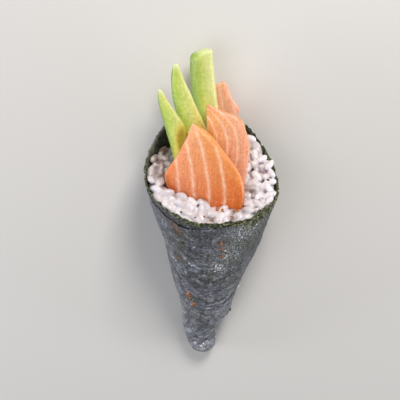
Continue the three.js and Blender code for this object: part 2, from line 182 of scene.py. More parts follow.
def makeStudio():
    world = bpy.data.worlds.new("studioAir")
    world.use_nodes = True
    world.node_tree.nodes.clear()
    air = addNode(world.node_tree, "Background", {"Color": studio["air"], "Strength": studio["airStrength"]})
    addNode(world.node_tree, "OutputWorld", {"Surface": air})
    bpy.context.scene.world = world

    half = studio["floorSize"] / 2
    mesh = bpy.data.meshes.new("floor")
    corners = [(-half, -half, 0), (half, -half, 0), (half, half, 0), (-half, half, 0)]
    mesh.from_pydata(corners, [], [(0, 1, 2, 3)])
    material, add = newMaterial("mattPaintedBoard")    # rolled paint: even, with a faint orange peel
    peel = add("TexNoise", {"Vector": add("TexCoord", {}), "Scale": 1 / (studio["orangePeel"] * mm)})
    bump = add("Bump", {"Strength": 0.08, "Distance": 0.2 * mm, "Height": peel})
    paint = add("BsdfPrincipled", {"Base Color": studio["floor"], "Roughness": 0.7, "Normal": bump})
    add("OutputMaterial", {"Surface": paint})
    mesh.materials.append(material)
    addObject("floor", mesh)


bpy.context.scene.view_settings.view_transform = "Standard"
placeCameraAndLights()
makeStudio()
print("camera and studio set")


# Makes a piece from points in the cone's frame, in place of a node of the frame if one is named. marks
# are the patterns' own coordinates, kept on the mesh for its material to read.
def makePiece(name, points, faces, material, marks, node=None):
    mesh = bpy.data.meshes.new(name)
    mesh.from_pydata(toPart(points).tolist(), [], faces)
    for mark, values in marks.items():
        attribute = mesh.attributes.new(mark, "FLOAT_VECTOR", "POINT")
        attribute.data.foreach_set("vector", np.asarray(values, np.float32).ravel())
    mesh.polygons.foreach_set("use_smooth", [True] * len(mesh.polygons))
    mesh.materials.append(material)
    mesh.update()
    piece = addObject(name, mesh)
    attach(piece, "root")
    if node:
        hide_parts(node)


# Faces between the rows of a grid of points; wrapRows and wrapColumns close it on itself.
def gridFaces(rows, columns, wrapRows=False, wrapColumns=False):
    faces = []
    for row in range(rows if wrapRows else rows - 1):
        low, high = row * columns, (row + 1) % rows * columns
        for column in range(columns if wrapColumns else columns - 1):
            after = (column + 1) % columns
            faces.append([low + column, low + after, high + after, high + column])
    return faces


# Triangles from a ring of points to one in its middle.
def capFaces(first, size, middle, flip):
    fan = [[first + column, first + (column + 1) % size, middle] for column in range(size)]
    return [face[::-1] for face in fan] if flip else fan


def shiftFaces(faces, start):
    return [[start + corner for corner in face] for face in faces]


# A tree of several skins' faces, for finding the nearest place on them.
def skinTree(skins):
    points, faces = [], []
    for skin, skinFaces in skins:
        faces += shiftFaces(skinFaces, len(points))
        points += np.asarray(skin).tolist()
    return BVHTree.FromPolygons(points, faces)


def smoothStep(value, low, high):
    share = np.clip((value - low) / (high - low), 0, 1)
    return share * share * (3 - 2 * share)


def bell(off, spread):
    return np.exp(-(off / spread) ** 2)


# Smooth bumps from -1 to 1 at each point of x, y and z, with features about one unit across.
def bumps(x, y, z, octaves=1, offset=0.0):
    shift = Vector((offset, 0.37 * offset, -0.61 * offset))
    points = np.column_stack(np.broadcast_arrays(x, y, z))
    if octaves == 1:
        return np.array([noise.noise(Vector(point) + shift) for point in points])
    return np.array([noise.fractal(Vector(point) + shift, 0.9, 2.1, octaves) for point in points])


leaf = {
    "wall": 1.5,               # all layers together
    "rimWall": 1.05,           # thinner at the rim, where they lie close
    "sheet": 0.36,             # thickness of the outer layer's sheet, damp and swollen
    "turnStep": 0.45,          # how far the free edge stands over the layer below it
    "rimInset": 0.45,          # the inner layer shows above the outer one, set back by this
    "tipInset": 0.6,           # and below it
    "innerStep": 0.25,         # how much the inner layer's own set-back changes in one turn
    "seamAngle": 88,           # free edge at its lower corner
    "seamTurn": 0.57,          # degrees that it turns for each mm up the cone
    "lowerEdge": 22,
    "lowerEdgeWave": 1.6,
    "rimBand": 0.6,            # least height of the inner layer above the outer one
    "frontBand": 4.9,          # more of it round this angle, and its spread
    "frontBandPlace": (-27, 38),
    "flapLift": 1.3,           # the loose corner of the outer layer stands off by this
    "flapWidth": 0.083,
    "flapHeight": 7,
    "tuck": 0.16,              # how far the outer layer goes on under its free edge, as a share of a turn
    "creaseDepth": 0.3,
    "creases": [(3, 4.2, 0), (2, -5, 30)],    # two sets cross: turns, slant, start
    "bulges": (2, 1.6, 60),
    "rimWave": 0.5,
    "rimWaves": (5, 0, 70),
    "mouthFrom": 60,
    "mouthPinch": 1.9,         # the mouth is drawn in by this on both sides of its back
    "mouthPinchAngle": 125,
    "mouthPinchSpread": 28,
    "standsOff": 0.8,          # the outer layer's top edge stands off by this at the left of the front
    "standsPlace": (-20, 30),
    "columns": 360,
    "outerRows": 130,
}

tip = {
    "shoulder": 2.6,
    "end": -3.5,
    "bluntness": 4,
    "flatness": 0.12,
    "sideways": -1.4,          # bends to the left by this, most of all halfway down
    "fuller": 1.7,
}


def turnBetween(angle, other):
    return (np.asarray(angle) - other + 180) % 360 - 180


def nearAngle(angle, middle, spread):
    return bell(turnBetween(angle, middle), spread)


def coneRadius(along):
    return cone["tipRadius"] + cone["taper"] * along


def rimHeight(angle):
    turned = (1 - np.cos(np.radians(angle - cone["backRiseTurn"]))) / 2
    ripple = 0.5 * np.sin(np.radians(3 * angle + 40)) + 0.35 * np.sin(np.radians(7 * angle))
    return cone["frontLength"] + cone["backRise"] * turned ** cone["backRisePower"] + ripple


def outerTop(angle):
    return rimHeight(angle) - leaf["rimBand"] - leaf["frontBand"] * nearAngle(angle, *leaf["frontBandPlace"])


def outerBottom(angle):
    return leaf["lowerEdge"] + leaf["lowerEdgeWave"] * np.cos(np.radians(turnBetween(angle, 5)))


# Slanting creases and the wavy mouth, in mm outwards. All layers bend together.
def leafRelief(angle, along):
    def slanted(turns, slant, start):
        return np.sin(np.radians(turns * angle + slant * along + start))
    crease = slanted(*leaf["creases"][0]) * slanted(*leaf["creases"][1])
    body = leaf["creaseDepth"] * smoothStep(along, tip["shoulder"], leaf["lowerEdge"] + 8)
    pinch = leaf["mouthPinch"] * bell(np.abs(turnBetween(angle, 0)) - leaf["mouthPinchAngle"],
                                      leaf["mouthPinchSpread"])
    mouth = smoothStep(along, leaf["mouthFrom"], cone["frontLength"])
    return (body * (crease + 0.5 * slanted(*leaf["bulges"]))
            + mouth * (leaf["rimWave"] * slanted(*leaf["rimWaves"]) - pinch))


# Points of the skin, inset under the outside and pressed flat where the cone rests.
def skinPoint(angle, along, inset, lift=0.0):
    angle, along, inset, lift = np.broadcast_arrays(angle, along, inset, lift)
    low = 1 - np.clip(along / leaf["lowerEdge"], 0, 1)
    down = np.clip((tip["shoulder"] - along) / (tip["shoulder"] - tip["end"]), 0, 1)
    share = (1 - down ** tip["bluntness"]) ** (1 / tip["bluntness"])
    radius = (coneRadius(along) + leafRelief(angle, along) + lift - inset + tip["fuller"] * low) * share
    bend = tip["sideways"] * np.sin(np.pi * low)
    bend = bend + cone["sway"] * bell(along - cone["swayAlong"], cone["swaySpread"])
    front = radius * np.cos(np.radians(angle)) * (1 - tip["flatness"] * low)
    floor = cone["flatDepth"] / math.cos(halfAngle) - coneRadius(along)
    floor = floor + np.maximum(0, inset - leaf["turnStep"])
    return np.stack([radius * np.sin(np.radians(angle)) + bend, along, np.maximum(front, floor)], -1)


def seamAngle(along):
    return leaf["seamAngle"] + leaf["seamTurn"] * (along - leaf["lowerEdge"])


# Angle and height of a row of the leaf: heightAt gives the height at an angle.
def leafRow(share, heightAt):
    near = seamAngle(leaf["mouthFrom"]) + 360 * share
    angle = seamAngle(heightAt(near)) + 360 * share
    return angle, heightAt(angle)


# Where a point of the cone lies on the sheet of seaweed when it is unrolled flat, in mm.
def unrolled(angle, along):
    slant = (along + cone["tipRadius"] / cone["taper"]) / math.cos(halfAngle)
    turn = np.radians(angle) * math.sin(halfAngle)
    return np.stack([slant * np.sin(turn), slant * np.cos(turn)], -1)


seaweed = {
    # the sheet's tones, from its own near-black up to slate, lilac and pale blue-grey that are painted sheen
    "greysAndSheen": [(0.385, "#1d2024"), (0.485, "#41454b"), (0.59, "#737582"), (0.71, "#acadb5")],
    "rimGreens": [(0.43, "#191e0c"), (0.52, "#505a27"), (0.63, "#b4b584")],
    "insideGreens": [(0.47, "#0a0b06"), (0.66, "#3f4727")],
    # the light curly lines are painted highlights along the creases; the white specks are partly salt and
    # starch, partly painted glints
    "olive": "#3f4727", "dark": "#12150f", "creaseHighlight": "#c3c7c9", "saltAndGlint": "#e6e9ee", "stain": "#96684f",
    # the first is the pale painted on the torn edge as its sheen; the second tints the shader's own sheen
    "rimPale": "#a3a49b", "sheen": "#d2d2dc",
    "patterns": [                # mm across, detail, roughness, distortion
        (12.0, 3, 0.55, 0),      # the olive and the grey areas
        (4.2, 7, 0.72, 0.9),     # overlapping bits of chopped seaweed
        (1.25, 3, 0.7, 0),       # the smallest ones, drawn coarser than the real ones so that they show
        (2.0, 3, 0.55, 1.6),     # curly creases where the sheet has shrunk
        (0.75, 2, 0.6, 0),       # salt and starch, partly painted glints
    ],
    "streak": (12.0, 2.1, 1),    # mm along and across, where the wound sheet is drawn into folds
    "pit": 1.5,
    "foldRise": 0.72,            # the folds sag at the front and climb by this on both sides, per mm across
    "foldBend": 9.0,             # within this far of the front
    "fold": 0.5,                 # height of the folds in the mesh
    "lumpHeight": 0.3,           # and of the lumps between them
    "ragged": 0.95,              # height of the torn edge's bumps, and how many round it
    "raggedTurns": 18,
    "ripple": 0.4,               # the leaf waves in and out by this near its rim
    "tornHeight": 3.6,           # the torn edge stands higher by this at the right of the front
    "tornAngle": 52,
    "tornSpread": 11,
    "olivePlaces": [             # angle, height along the cone, spread in mm
        (24, 84, 9), (19, 72, 8), (34, 94, 8), (-15.5, 29.7, 6), (-30, 89, 5), (6, 60, 6), (-36, 68, 4),
        (84, 25, 4),
    ],
    # where salt, starch and painted glints gather
    "saltAndGlintPlaces": [(12.3, 67.7, 4.6), (32, 93, 9), (20, 78, 7), (45, 95, 7), (0, 2, 3.4), (-22, 5, 2.5)],
    "foldPlaces": [(-14, 66, 13), (26, 40, 8), (-24, 82, 8)],
    "stainPlaces": [
        (11.3, 85.5, 1.7), (12, 82, 1.8), (13, 77.5, 1.6), (-36, 92, 3.2), (-30, 90, 2.6), (-39, 68.5, 1.6),
    ],
    # painted light and shade on the sheet: paler on the left side, towards the tip and on a spot at the
    # front, darker on the right
    "paleAll": 0.15,
    "paleLeft": (0.22, -64, 26),                   # painted rim light and sheen on the left: how pale, angle, spread
    "paleLow": (0.6, 24, 64),                      # how pale, all of it under the first height
    "paleSpot": (0.3, -4, 20, 68, 9),              # painted light on the front: how pale, angle, spread, height, spread
    "paintedShadePlaces": [              # painted shade on the right: how dark, angle, spread, from, all of it over
        (0.9, 55, 26, 56, 80), (0.5, 74, 18, 26, 44),
    ],
    "rimWidth": 1.8,             # of the green band along the torn edge
    "rimPlaces": [(12, 1.6, 18), (-14, 2.2, 8), (46, 8, 17), (-95, 4, 18)],    # angle, wider by, spread
    "rimDapple": 5.5,
    # the torn edge at the back left, seen edge-on, painted pale as its sheen: angle, spread
    "rimSheen": (-134, 30),
    "mossDepth": 1.8,            # the green edge turns dark this far inside, and further at one angle
    "mossPlace": (4.4, -95, 17),
}


# Roasted laver, pressed from chopped seaweed on a mat: a thin sheet full of overlapping bits and
# pinholes. Damp from the rice it shrinks into curly creases with a soft wet sheen, blue-grey where it
# catches the light and green at its torn edge. The blue-grey sheen, the highlights on the creases, part
# of the white specks as glints, and the light and shade of the folds and of its sides are painted into
# its colour.
def makeSeaweed():
    material, add = newMaterial("roastedLaver")
    rim, inside, rimSheen = add("SeparateXYZ", {}, add("Attribute", {"attribute_name": "leafEdge"})).outputs
    olive, saltAndGlint, folds = add("SeparateXYZ", {}, add("Attribute", {"attribute_name": "leafTone"})).outputs
    pale, stain, dapple = add("SeparateXYZ", {}, add("Attribute", {"attribute_name": "leafTint"})).outputs
    flat = add("Attribute", {"attribute_name": "sheet"})         # unrolled x, y in mm
    drawn = add("Attribute", {"attribute_name": "leafFold"})     # along and across the folds, mm
    patch, lumps, mottle, swirl, specks = (
        add("TexNoise", {"Vector": flat, "Scale": 1 / size, "Detail": detail, "Roughness": rough,
                         "Distortion": bent}) for size, detail, rough, bent in seaweed["patterns"])
    stretched = add("Mapping", {"vector_type": "TEXTURE", "Vector": drawn, "Scale": seaweed["streak"]})
    streaks = add("TexNoise", {
        "Vector": stretched, "Scale": 1, "Detail": 5, "Roughness": 0.6, "Distortion": 1.3})
    pits = add("TexVoronoi", {"Vector": flat, "Scale": 1 / seaweed["pit"], "Randomness": 1.0})

    # painted light and shade lift or lower the grey
    lifted = add("Math", {"operation": "MULTIPLY_ADD"}, pale, 0.13, lumps)
    # the folds' streaks lighten and darken the grey as painted light and shade of the folds
    streakOff = add("Math", {"operation": "SUBTRACT"}, streaks, 0.5)
    drawnOut = add("MapRange", {}, folds, 0, 1, 0.15, 0.9)
    streaked = add("Math", {"operation": "MULTIPLY_ADD"}, streakOff, drawnOut, lifted)
    grown = add("MapRange", {}, patch, 0.5, 0.66, 0, 0.8)
    greenPatch = add("Math", {"operation": "MAXIMUM"}, grown, olive)
    swirlOff = add("Math", {"operation": "SUBTRACT"}, swirl, 0.5)
    swirlFar = add("Math", {"operation": "ABSOLUTE"}, swirlOff)
    swirlLine = add("MapRange", {}, swirlFar, 0, 0.055, 1, 0)
    broken = add("MapRange", {}, mottle, 0.45, 0.56, 0, 1)
    creases = add("Math", {"operation": "MULTIPLY"}, swirlLine, broken)
    rimWave = add("Math", {"operation": "MULTIPLY_ADD"}, lumps, 3.8, rim)
    moss = add("ValToRGB", {"stops": seaweed["rimGreens"]}, mottle)
    # the grey underneath is lifted by painted sheen
    colour = layColours(add, add("ValToRGB", {"stops": seaweed["greysAndSheen"]}, streaked), [
        (seaweed["olive"], "MIX", greenPatch, (lumps, 0.62, 0.46, 0.2, 1)),
        # light and dark bands along the folds: painted light and shade, over the relief that their bump
        # gives
        (add("MapRange", {}, streaks, 0.36, 0.64, 0.4, 1.6), "MULTIPLY", (folds, 0, 1, 0.1, 0.9)),
        (add("MapRange", {}, mottle, 0.36, 0.64, 0.32, 1.8), "MULTIPLY", 0.9),
        (seaweed["dark"], "MIX", (pits, 0.1, 0.34, 0.75, 0), (specks, 0.5, 0.58, 0, 1)),
        (seaweed["dark"], "MIX", (mottle, 0.52, 0.44, 0, 0.9), dapple),
        # painted highlights along the curly creases, strongest where the glints gather
        (seaweed["creaseHighlight"], "MIX", creases, (saltAndGlint, 0, 1, 0.4, 1)),
        # white specks: salt and starch, partly painted glints
        (seaweed["saltAndGlint"], "MIX", (specks, 0.53, 0.6, 0, 0.9), (saltAndGlint, 0, 1, 0.08, 1)),
        (seaweed["stain"], "MIX", (mottle, 0.42, 0.56, 0, 0.8), stain),
        # the torn edge's green, painted pale with sheen where it is seen edge-on
        (layColours(add, moss, [(seaweed["rimPale"], "MIX", rimSheen)]), "MIX",
         (rimWave, 2.02, 2.35, 0, 1), (rim, 0, 0.2, 0, 1)),
        (add("ValToRGB", {"stops": seaweed["insideGreens"]}, mottle), "MIX", inside),
    ])

    relief = add("Math", {"operation": "MULTIPLY_ADD"}, streaks, 0.8, lumps)
    curled = add("Math", {"operation": "MULTIPLY_ADD"}, creases, 0.22, relief)
    bump = add("Bump", {"Strength": 1.0, "Distance": 1.1 * mm, "Height": curled})
    fine = add("Bump", {"Strength": 1.0, "Distance": 0.4 * mm, "Height": mottle, "Normal": bump})
    skin = add("BsdfPrincipled", {
        "Base Color": colour, "Roughness": add("MapRange", {}, lumps, 0.36, 0.64, 0.3, 0.6), "Normal": fine,
        "Specular IOR Level": 0.5, "IOR": 1.5, "Coat Weight": 0.12, "Coat Roughness": 0.22,
        "Sheen Weight": 0.05, "Sheen Roughness": 0.4, "Sheen Tint": seaweed["sheen"]})
    add("OutputMaterial", {"Surface": skin})
    return material


# How near points of the sheet are to any of the named places, from 0 to 1.
def nearPlaces(angle, along, places):
    share = 0
    for placeAngle, placeAlong, spread in places:
        off = unrolled(turnBetween(angle, placeAngle), along) - unrolled(0.0, placeAlong)
        share = np.maximum(share, bell(np.linalg.norm(off, axis=1), spread))
    return share


# Places along and across the folds of the wound sheet, in mm.
def foldPlace(angle, along):
    across = np.radians(angle - 360) * coneRadius(along)
    bend = seaweed["foldBend"]
    return across, along - seaweed["foldRise"] * (np.sqrt(across ** 2 + bend ** 2) - bend)


# Wrinkles of the damp sheet, in mm outwards: long sagging folds, and rings where the tip is twisted.
def wrinkles(angle, along):
    across, over = foldPlace(angle, along)
    x, y = unrolled(angle, along).T / 2.6
    long = 1 - 2 * np.abs(bumps(across / 20, over / 4.4, 0, 2, 3.0))
    rings = 1 - 2 * np.abs(bumps(across / 14, along / 3.2, 0, 2, 17.0))
    low = 1 - smoothStep(along, 10, 34)
    folds = (1 - low) * (0.35 + 0.9 * nearPlaces(angle, along, seaweed["foldPlaces"])) * long
    folds = seaweed["fold"] * (folds + 0.8 * low * rings)
    ripple = (1 - smoothStep(rimHeight(angle) - along, 0, 7)) * bumps(across / 2.4, over / 9, 0, 2, 23.0)
    return folds + seaweed["lumpHeight"] * bumps(x, y, 0, 3, 9.0) + seaweed["ripple"] * ripple


# How much paler or darker the sheet is than its own grey: painted light and shade, paler on the left
# side, towards the tip and on a spot at the front, darker on the right.
def paintedLightAndShade(angle, along):
    left, middle, spread = seaweed["paleLeft"]
    low, lowFrom, lowTo = seaweed["paleLow"]
    spot, spotAngle, spotSpread, spotAlong, spotHeight = seaweed["paleSpot"]
    pale = np.maximum(left * nearAngle(angle, middle, spread), low * (1 - smoothStep(along, lowFrom, lowTo)))
    pale = pale + spot * nearAngle(angle, spotAngle, spotSpread) * bell(along - spotAlong, spotHeight)
    for dark, middle, spread, start, end in seaweed["paintedShadePlaces"]:
        pale = pale - dark * nearAngle(angle, middle, spread) * smoothStep(along, start, end)
    return seaweed["paleAll"] + pale


# A skin over rows of [angle, height along the cone, inset, lift, inside], with marks for its material.
def leafSkin(rows, closed):
    angle, along, inset, lift, inside = (
        np.concatenate([row[part] + 0 * row[0] for row in rows]) for part in range(5))
    rimWidth = seaweed["rimWidth"]
    for middle, wider, spread in seaweed["rimPlaces"]:
        rimWidth = rimWidth + wider * nearAngle(angle, middle, spread)
    under = rimHeight(angle) - along
    olive, saltAndGlint, folds, stain = (nearPlaces(angle, along, seaweed[name]) for name in (
        "olivePlaces", "saltAndGlintPlaces", "foldPlaces", "stainPlaces"))
    marks = {
        "sheet": (*unrolled(angle, along).T, 7.0 * inside),
        "leafEdge": (np.clip(1 - under / rimWidth, 0, 1), inside, nearAngle(angle, *seaweed["rimSheen"])),
        "leafTone": (0.85 * olive, saltAndGlint, folds),
        "leafTint": (paintedLightAndShade(angle, along), stain, bell(under, seaweed["rimDapple"]) * (1 - inside)),
        "leafFold": (*foldPlace(angle, along), 9.0 * inside),
    }
    points = skinPoint(angle, along, inset - wrinkles(angle, along), lift)
    faces = gridFaces(len(rows), len(rows[0][0]), wrapRows=not closed, wrapColumns=closed)
    return points, faces, {name: np.column_stack(values) for name, values in marks.items()}


# The inner layer: one closed cup, from the tip up the outside, over the rim and down the inside.
def makeInnerLayer():
    count = leaf["columns"]
    shares = np.arange(count) / count
    x, y = (turn(2 * np.pi * shares) * seaweed["raggedTurns"] for turn in (np.sin, np.cos))
    ragged = bumps(x, y, 0, 3, 5.0) * seaweed["ragged"]
    torn = (turnBetween(leafRow(shares, rimHeight)[0], seaweed["tornAngle"]) / seaweed["tornSpread"]) ** 2
    ragged = ragged + seaweed["tornHeight"] * np.exp(-torn * torn) * (1 + 0.4 * ragged)
    step = leaf["innerStep"] * (1 - shares)
    atRim = leaf["rimInset"] + step
    behind = leaf["turnStep"] * (1 - shares) + leaf["sheet"] + 0.05    # clear of the outer layer
    rows = []
    lowest = tip["end"] + 0.02 + 0.6 * np.linspace(0, 1, 6) ** 2
    for level in np.concatenate([lowest, np.linspace(-2, 21, 34)]):
        rows.append((*leafRow(shares, lambda a: level + 0 * a), leaf["tipInset"] + step, 0.0, 0.0))
    for part in (0.02, 0.2, 0.5, 0.8, 0.97):
        angle, along = leafRow(shares, lambda a: outerBottom(a) + (outerTop(a) - outerBottom(a)) * part)
        rows.append((angle, along, np.maximum(behind, 0.9), 0.0, 0.0))
    for part in np.linspace(0, 1, 10):
        angle, along = leafRow(shares, lambda a: outerTop(a) + (rimHeight(a) - outerTop(a)) * part)
        along = along + ragged * float(smoothStep(part, 0.35, 0.9))
        rows.append((angle, along, atRim * part + np.maximum(behind, atRim) * (1 - part), 0.0, 0.0))
    for rise, share in ((0.1, 0.2), (-0.05, 0.5), (0.08, 0.8)):
        angle, along = leafRow(shares, rimHeight)
        rows.append((angle, along + ragged + rise, atRim + share * (leaf["rimWall"] - atRim), 0.0, 0.0))
    for drop in (0.5, 1.1, 1.9, 3, 4.5, 6.5, 9, 12, 16, 21, 28, 40, 55, 70, 85):
        angle, along = leafRow(shares, lambda a: rimHeight(a) - drop)
        inset = leaf["rimWall"] + (leaf["wall"] - leaf["rimWall"]) * min(1.0, drop / 9)
        deeper, *mossPlace = seaweed["mossPlace"]
        mossy = seaweed["mossDepth"] + deeper * nearAngle(angle, *mossPlace)
        rows.append((angle, along + ragged * max(0.0, 1 - drop), inset, 0.0, np.minimum(1.0, drop / mossy)))
    points, faces, marks = leafSkin(rows, closed=True)
    last = len(points)
    points = np.vstack([points, points[:count].mean(0), points[-count:].mean(0) - [0, 1.5, 0]])
    marks = {name: np.vstack([values, values[:1], values[-1:]]) for name, values in marks.items()}
    faces += capFaces(0, count, last, True) + capFaces(last - count, count, last + 1, False)
    return points, faces, marks


# The outer layer: a thin sheet wound once round, its free edge lying over its own beginning.
def makeOuterLayer():
    shares = np.linspace(-leaf["tuck"], 1, int(leaf["columns"] * (1 + leaf["tuck"])))
    inset = leaf["turnStep"] * (1 - shares)
    raggedTop = bumps(shares * 34, 0, 0, 4, 31.0) * 0.7
    raggedLow = bumps(shares * 60, 0, 0, 3, 47.0) * 0.3
    loose = 0.7 + 0.6 * bumps(shares * 24, 0, 0, 2, 61.0)
    outside, inside = [], []
    for part in np.linspace(0, 1, leaf["outerRows"]):
        angle, along = leafRow(shares, lambda a: outerBottom(a) + (outerTop(a) - outerBottom(a)) * part)
        along = along + raggedTop * smoothStep(part, 0.97, 1) + raggedLow * (1 - smoothStep(part, 0, 0.04))
        lift = leaf["flapLift"] * bell(1 - shares, leaf["flapWidth"])
        lift = lift * bell(along - leaf["lowerEdge"], leaf["flapHeight"])
        stands = leaf["standsOff"] * loose * smoothStep(part, 0.94, 1)
        stands = stands * nearAngle(angle, *leaf["standsPlace"])
        free = smoothStep(shares, 0, 0.05) * (lift + stands)
        outside.append((angle, along, inset, free, 0.0))
        inside.append((angle, along, inset + leaf["sheet"], free, 0.0))
    points, faces, marks = leafSkin(outside + inside[::-1], closed=False)
    rows, count = 2 * leaf["outerRows"], len(shares)
    for row in range(leaf["outerRows"] - 1):
        other = rows - 1 - row
        for column, turn in ((0, 1), (count - 1, -1)):
            faces.append([level * count + column for level in (row, row + 1, other - 1, other)][::turn])
    return points, faces, marks


carriers = {}                    # trees of the faces that crumbs lie on


def makeNori():
    points, faces, marks = makeInnerLayer()
    outerPoints, outerFaces, outerMarks = makeOuterLayer()
    faces += shiftFaces(outerFaces, len(points))
    points = np.vstack([points, outerPoints])
    marks = {name: np.vstack([marks[name], outerMarks[name]]) for name in marks}
    makePiece("noriLeaf", points, faces, makeSeaweed(), marks, "nori_wrap")
    carriers["leaf"] = BVHTree.FromPolygons(points.tolist(), faces)
    print("seaweed made:", len(points), "points")


makeNori()


# Each slice lies on a sheet that starts upright at its foot and leans back further up. An outline row
# is [height, left edge, right edge, thickness], in mm over the rice.
sliceGrid = {
    "steps": 24, "rootBlend": 10, "widePower": 6, "deepPower": 4.4, "endPower": 2.4,
    "row": 0.8, "column": 0.75,
}


# Runs a smooth line through rows of numbers and returns the row at a height.
def outlineRow(outline, height):
    inside = min(max(height, outline[0][0]), outline[-1][0])
    last = next(i for i in range(1, len(outline)) if outline[i][0] >= inside)
    before, low, high, after = (outline[min(max(last + i, 0), len(outline) - 1)] for i in (-2, -1, 0, 1))
    span = high[0] - low[0]
    share = (inside - low[0]) / span
    slopeLow = (high - before) / (high[0] - before[0]) * span
    slopeHigh = (after - low) / (after[0] - low[0]) * span
    return ((2 * share ** 3 - 3 * share ** 2 + 1) * low + (share ** 3 - 2 * share ** 2 + share) * slopeLow
            + (3 * share ** 2 - 2 * share ** 3) * high + (share ** 3 - share ** 2) * slopeHigh)


# Points of a slice's sheet at one height: across, and depth behind its front face.
def sheetPoints(slice, across, height, depth):
    step = height / sliceGrid["steps"]
    along, back, lean = 0.0, 0.0, math.radians(slice["lean"])
    for i in range(sliceGrid["steps"]):
        here = step * (i + 0.5)
        rooted = min(1.0, -here / sliceGrid["rootBlend"])
        more = slice["bend"] * here if here > 0 else (slice["rootLean"] - slice["lean"]) * rooted
        lean = math.radians(slice["lean"] + more)
        along += math.cos(lean) * step
        back += math.sin(lean) * step
    back = back + depth * math.cos(lean)
    along = along - depth * math.sin(lean)
    turn = math.radians(slice["turn"])
    x, y, z = slice["foot"]
    return np.stack([x + across * math.cos(turn) + back * math.sin(turn), y + along,
                     z + across * math.sin(turn) - back * math.cos(turn)], -1)


# Places round a section: wide and deep run from -1 to 1 over a rounded oblong, evenly along its faces.
def sectionPlaces(columns):
    wide = np.sin(np.linspace(-np.pi / 2, np.pi / 2, columns)) * 0.35 + np.linspace(-1, 1, columns) * 0.65
    deep = (1 - np.abs(wide) ** sliceGrid["widePower"]) ** (1 / sliceGrid["deepPower"])
    return np.concatenate([wide, wide[-2:0:-1]]), np.concatenate([-deep, deep[-2:0:-1]])


# A slice as a closed skin. The marks give each point's own place in the slice: across, height and depth
# in mm, and its share of the width, of the depth, and its height over the rice.
def sliceSkin(slice, endRound):
    outline = np.array(slice["outline"], float)
    bottom, top = outline[0][0], outline[-1][0]
    endPower = sliceGrid["endPower"]
    wide, deep = sectionPlaces(int(max(outline[:, 2] - outline[:, 1]) / sliceGrid["column"]))
    heights = np.arange(max(bottom, -14), top - endRound, sliceGrid["row"])
    ends = top - endRound * (1 - np.sin(np.linspace(0.0, np.pi / 2, 7)))
    heights = np.concatenate([[bottom], heights, ends])
    points, place, share = [], [], []
    for height in heights:
        _, left, right, thickness = outlineRow(outline, height)
        over = max(0.0, (height - (top - endRound)) / endRound)
        inset = endRound * (1 - max(0.02, (1 - over ** endPower) ** (1 / endPower)))
        half, level = (right - left) / 2, np.full(len(wide), height)
        narrow = max(0.05, 1 - inset / half)
        thin = max(0.05, 1 - inset / (thickness / 2))
        across = (left + right) / 2 + half * wide * narrow
        whole = (wide * narrow + 1) / 2
        backness = (deep * thin + 1) / 2
        leftOfRidge = np.maximum(0, 1 - whole / slice["ridge"]) * (1 - backness)
        fall = slice["bow"] * wide * wide + slice["fall"] * thickness * leftOfRidge
        points.append(sheetPoints(slice, across, height, backness * thickness + fall))
        place.append(np.stack([across, level, backness * thickness], -1))
        share.append(np.stack([whole, backness, level], -1))
    size = len(wide)
    skin = [np.concatenate(rows) for rows in (points, place, share)]
    faces = gridFaces(len(heights), size, wrapColumns=True)
    for first, flip in ((0, True), ((len(heights) - 1) * size, False)):
        faces += capFaces(first, size, len(skin[0]), flip)
        skin = [np.vstack([values, values[first:first + size].mean(0)]) for values in skin]
    return faces, *skin


# Moves points of a skin outwards.
def swell(points, faces, outwards):
    mesh = bpy.data.meshes.new("scratch")
    mesh.from_pydata(points.tolist(), [], faces)
    mesh.update()
    normals = np.zeros(len(points) * 3)
    mesh.vertex_normals.foreach_get("vector", normals)
    bpy.data.meshes.remove(mesh)
    return points + normals.reshape(-1, 3) * outwards[:, None]


slicePieces = []                 # closed skins in the cone's frame, which the rice keeps clear of


# salmon_front becomes salmonFront.
def makeSlice(node, points, faces, material, marks):
    first, second = node.split("_")
    makePiece(first + second.capitalize(), points, faces, material, marks, node)
    slicePieces.append((points, faces))


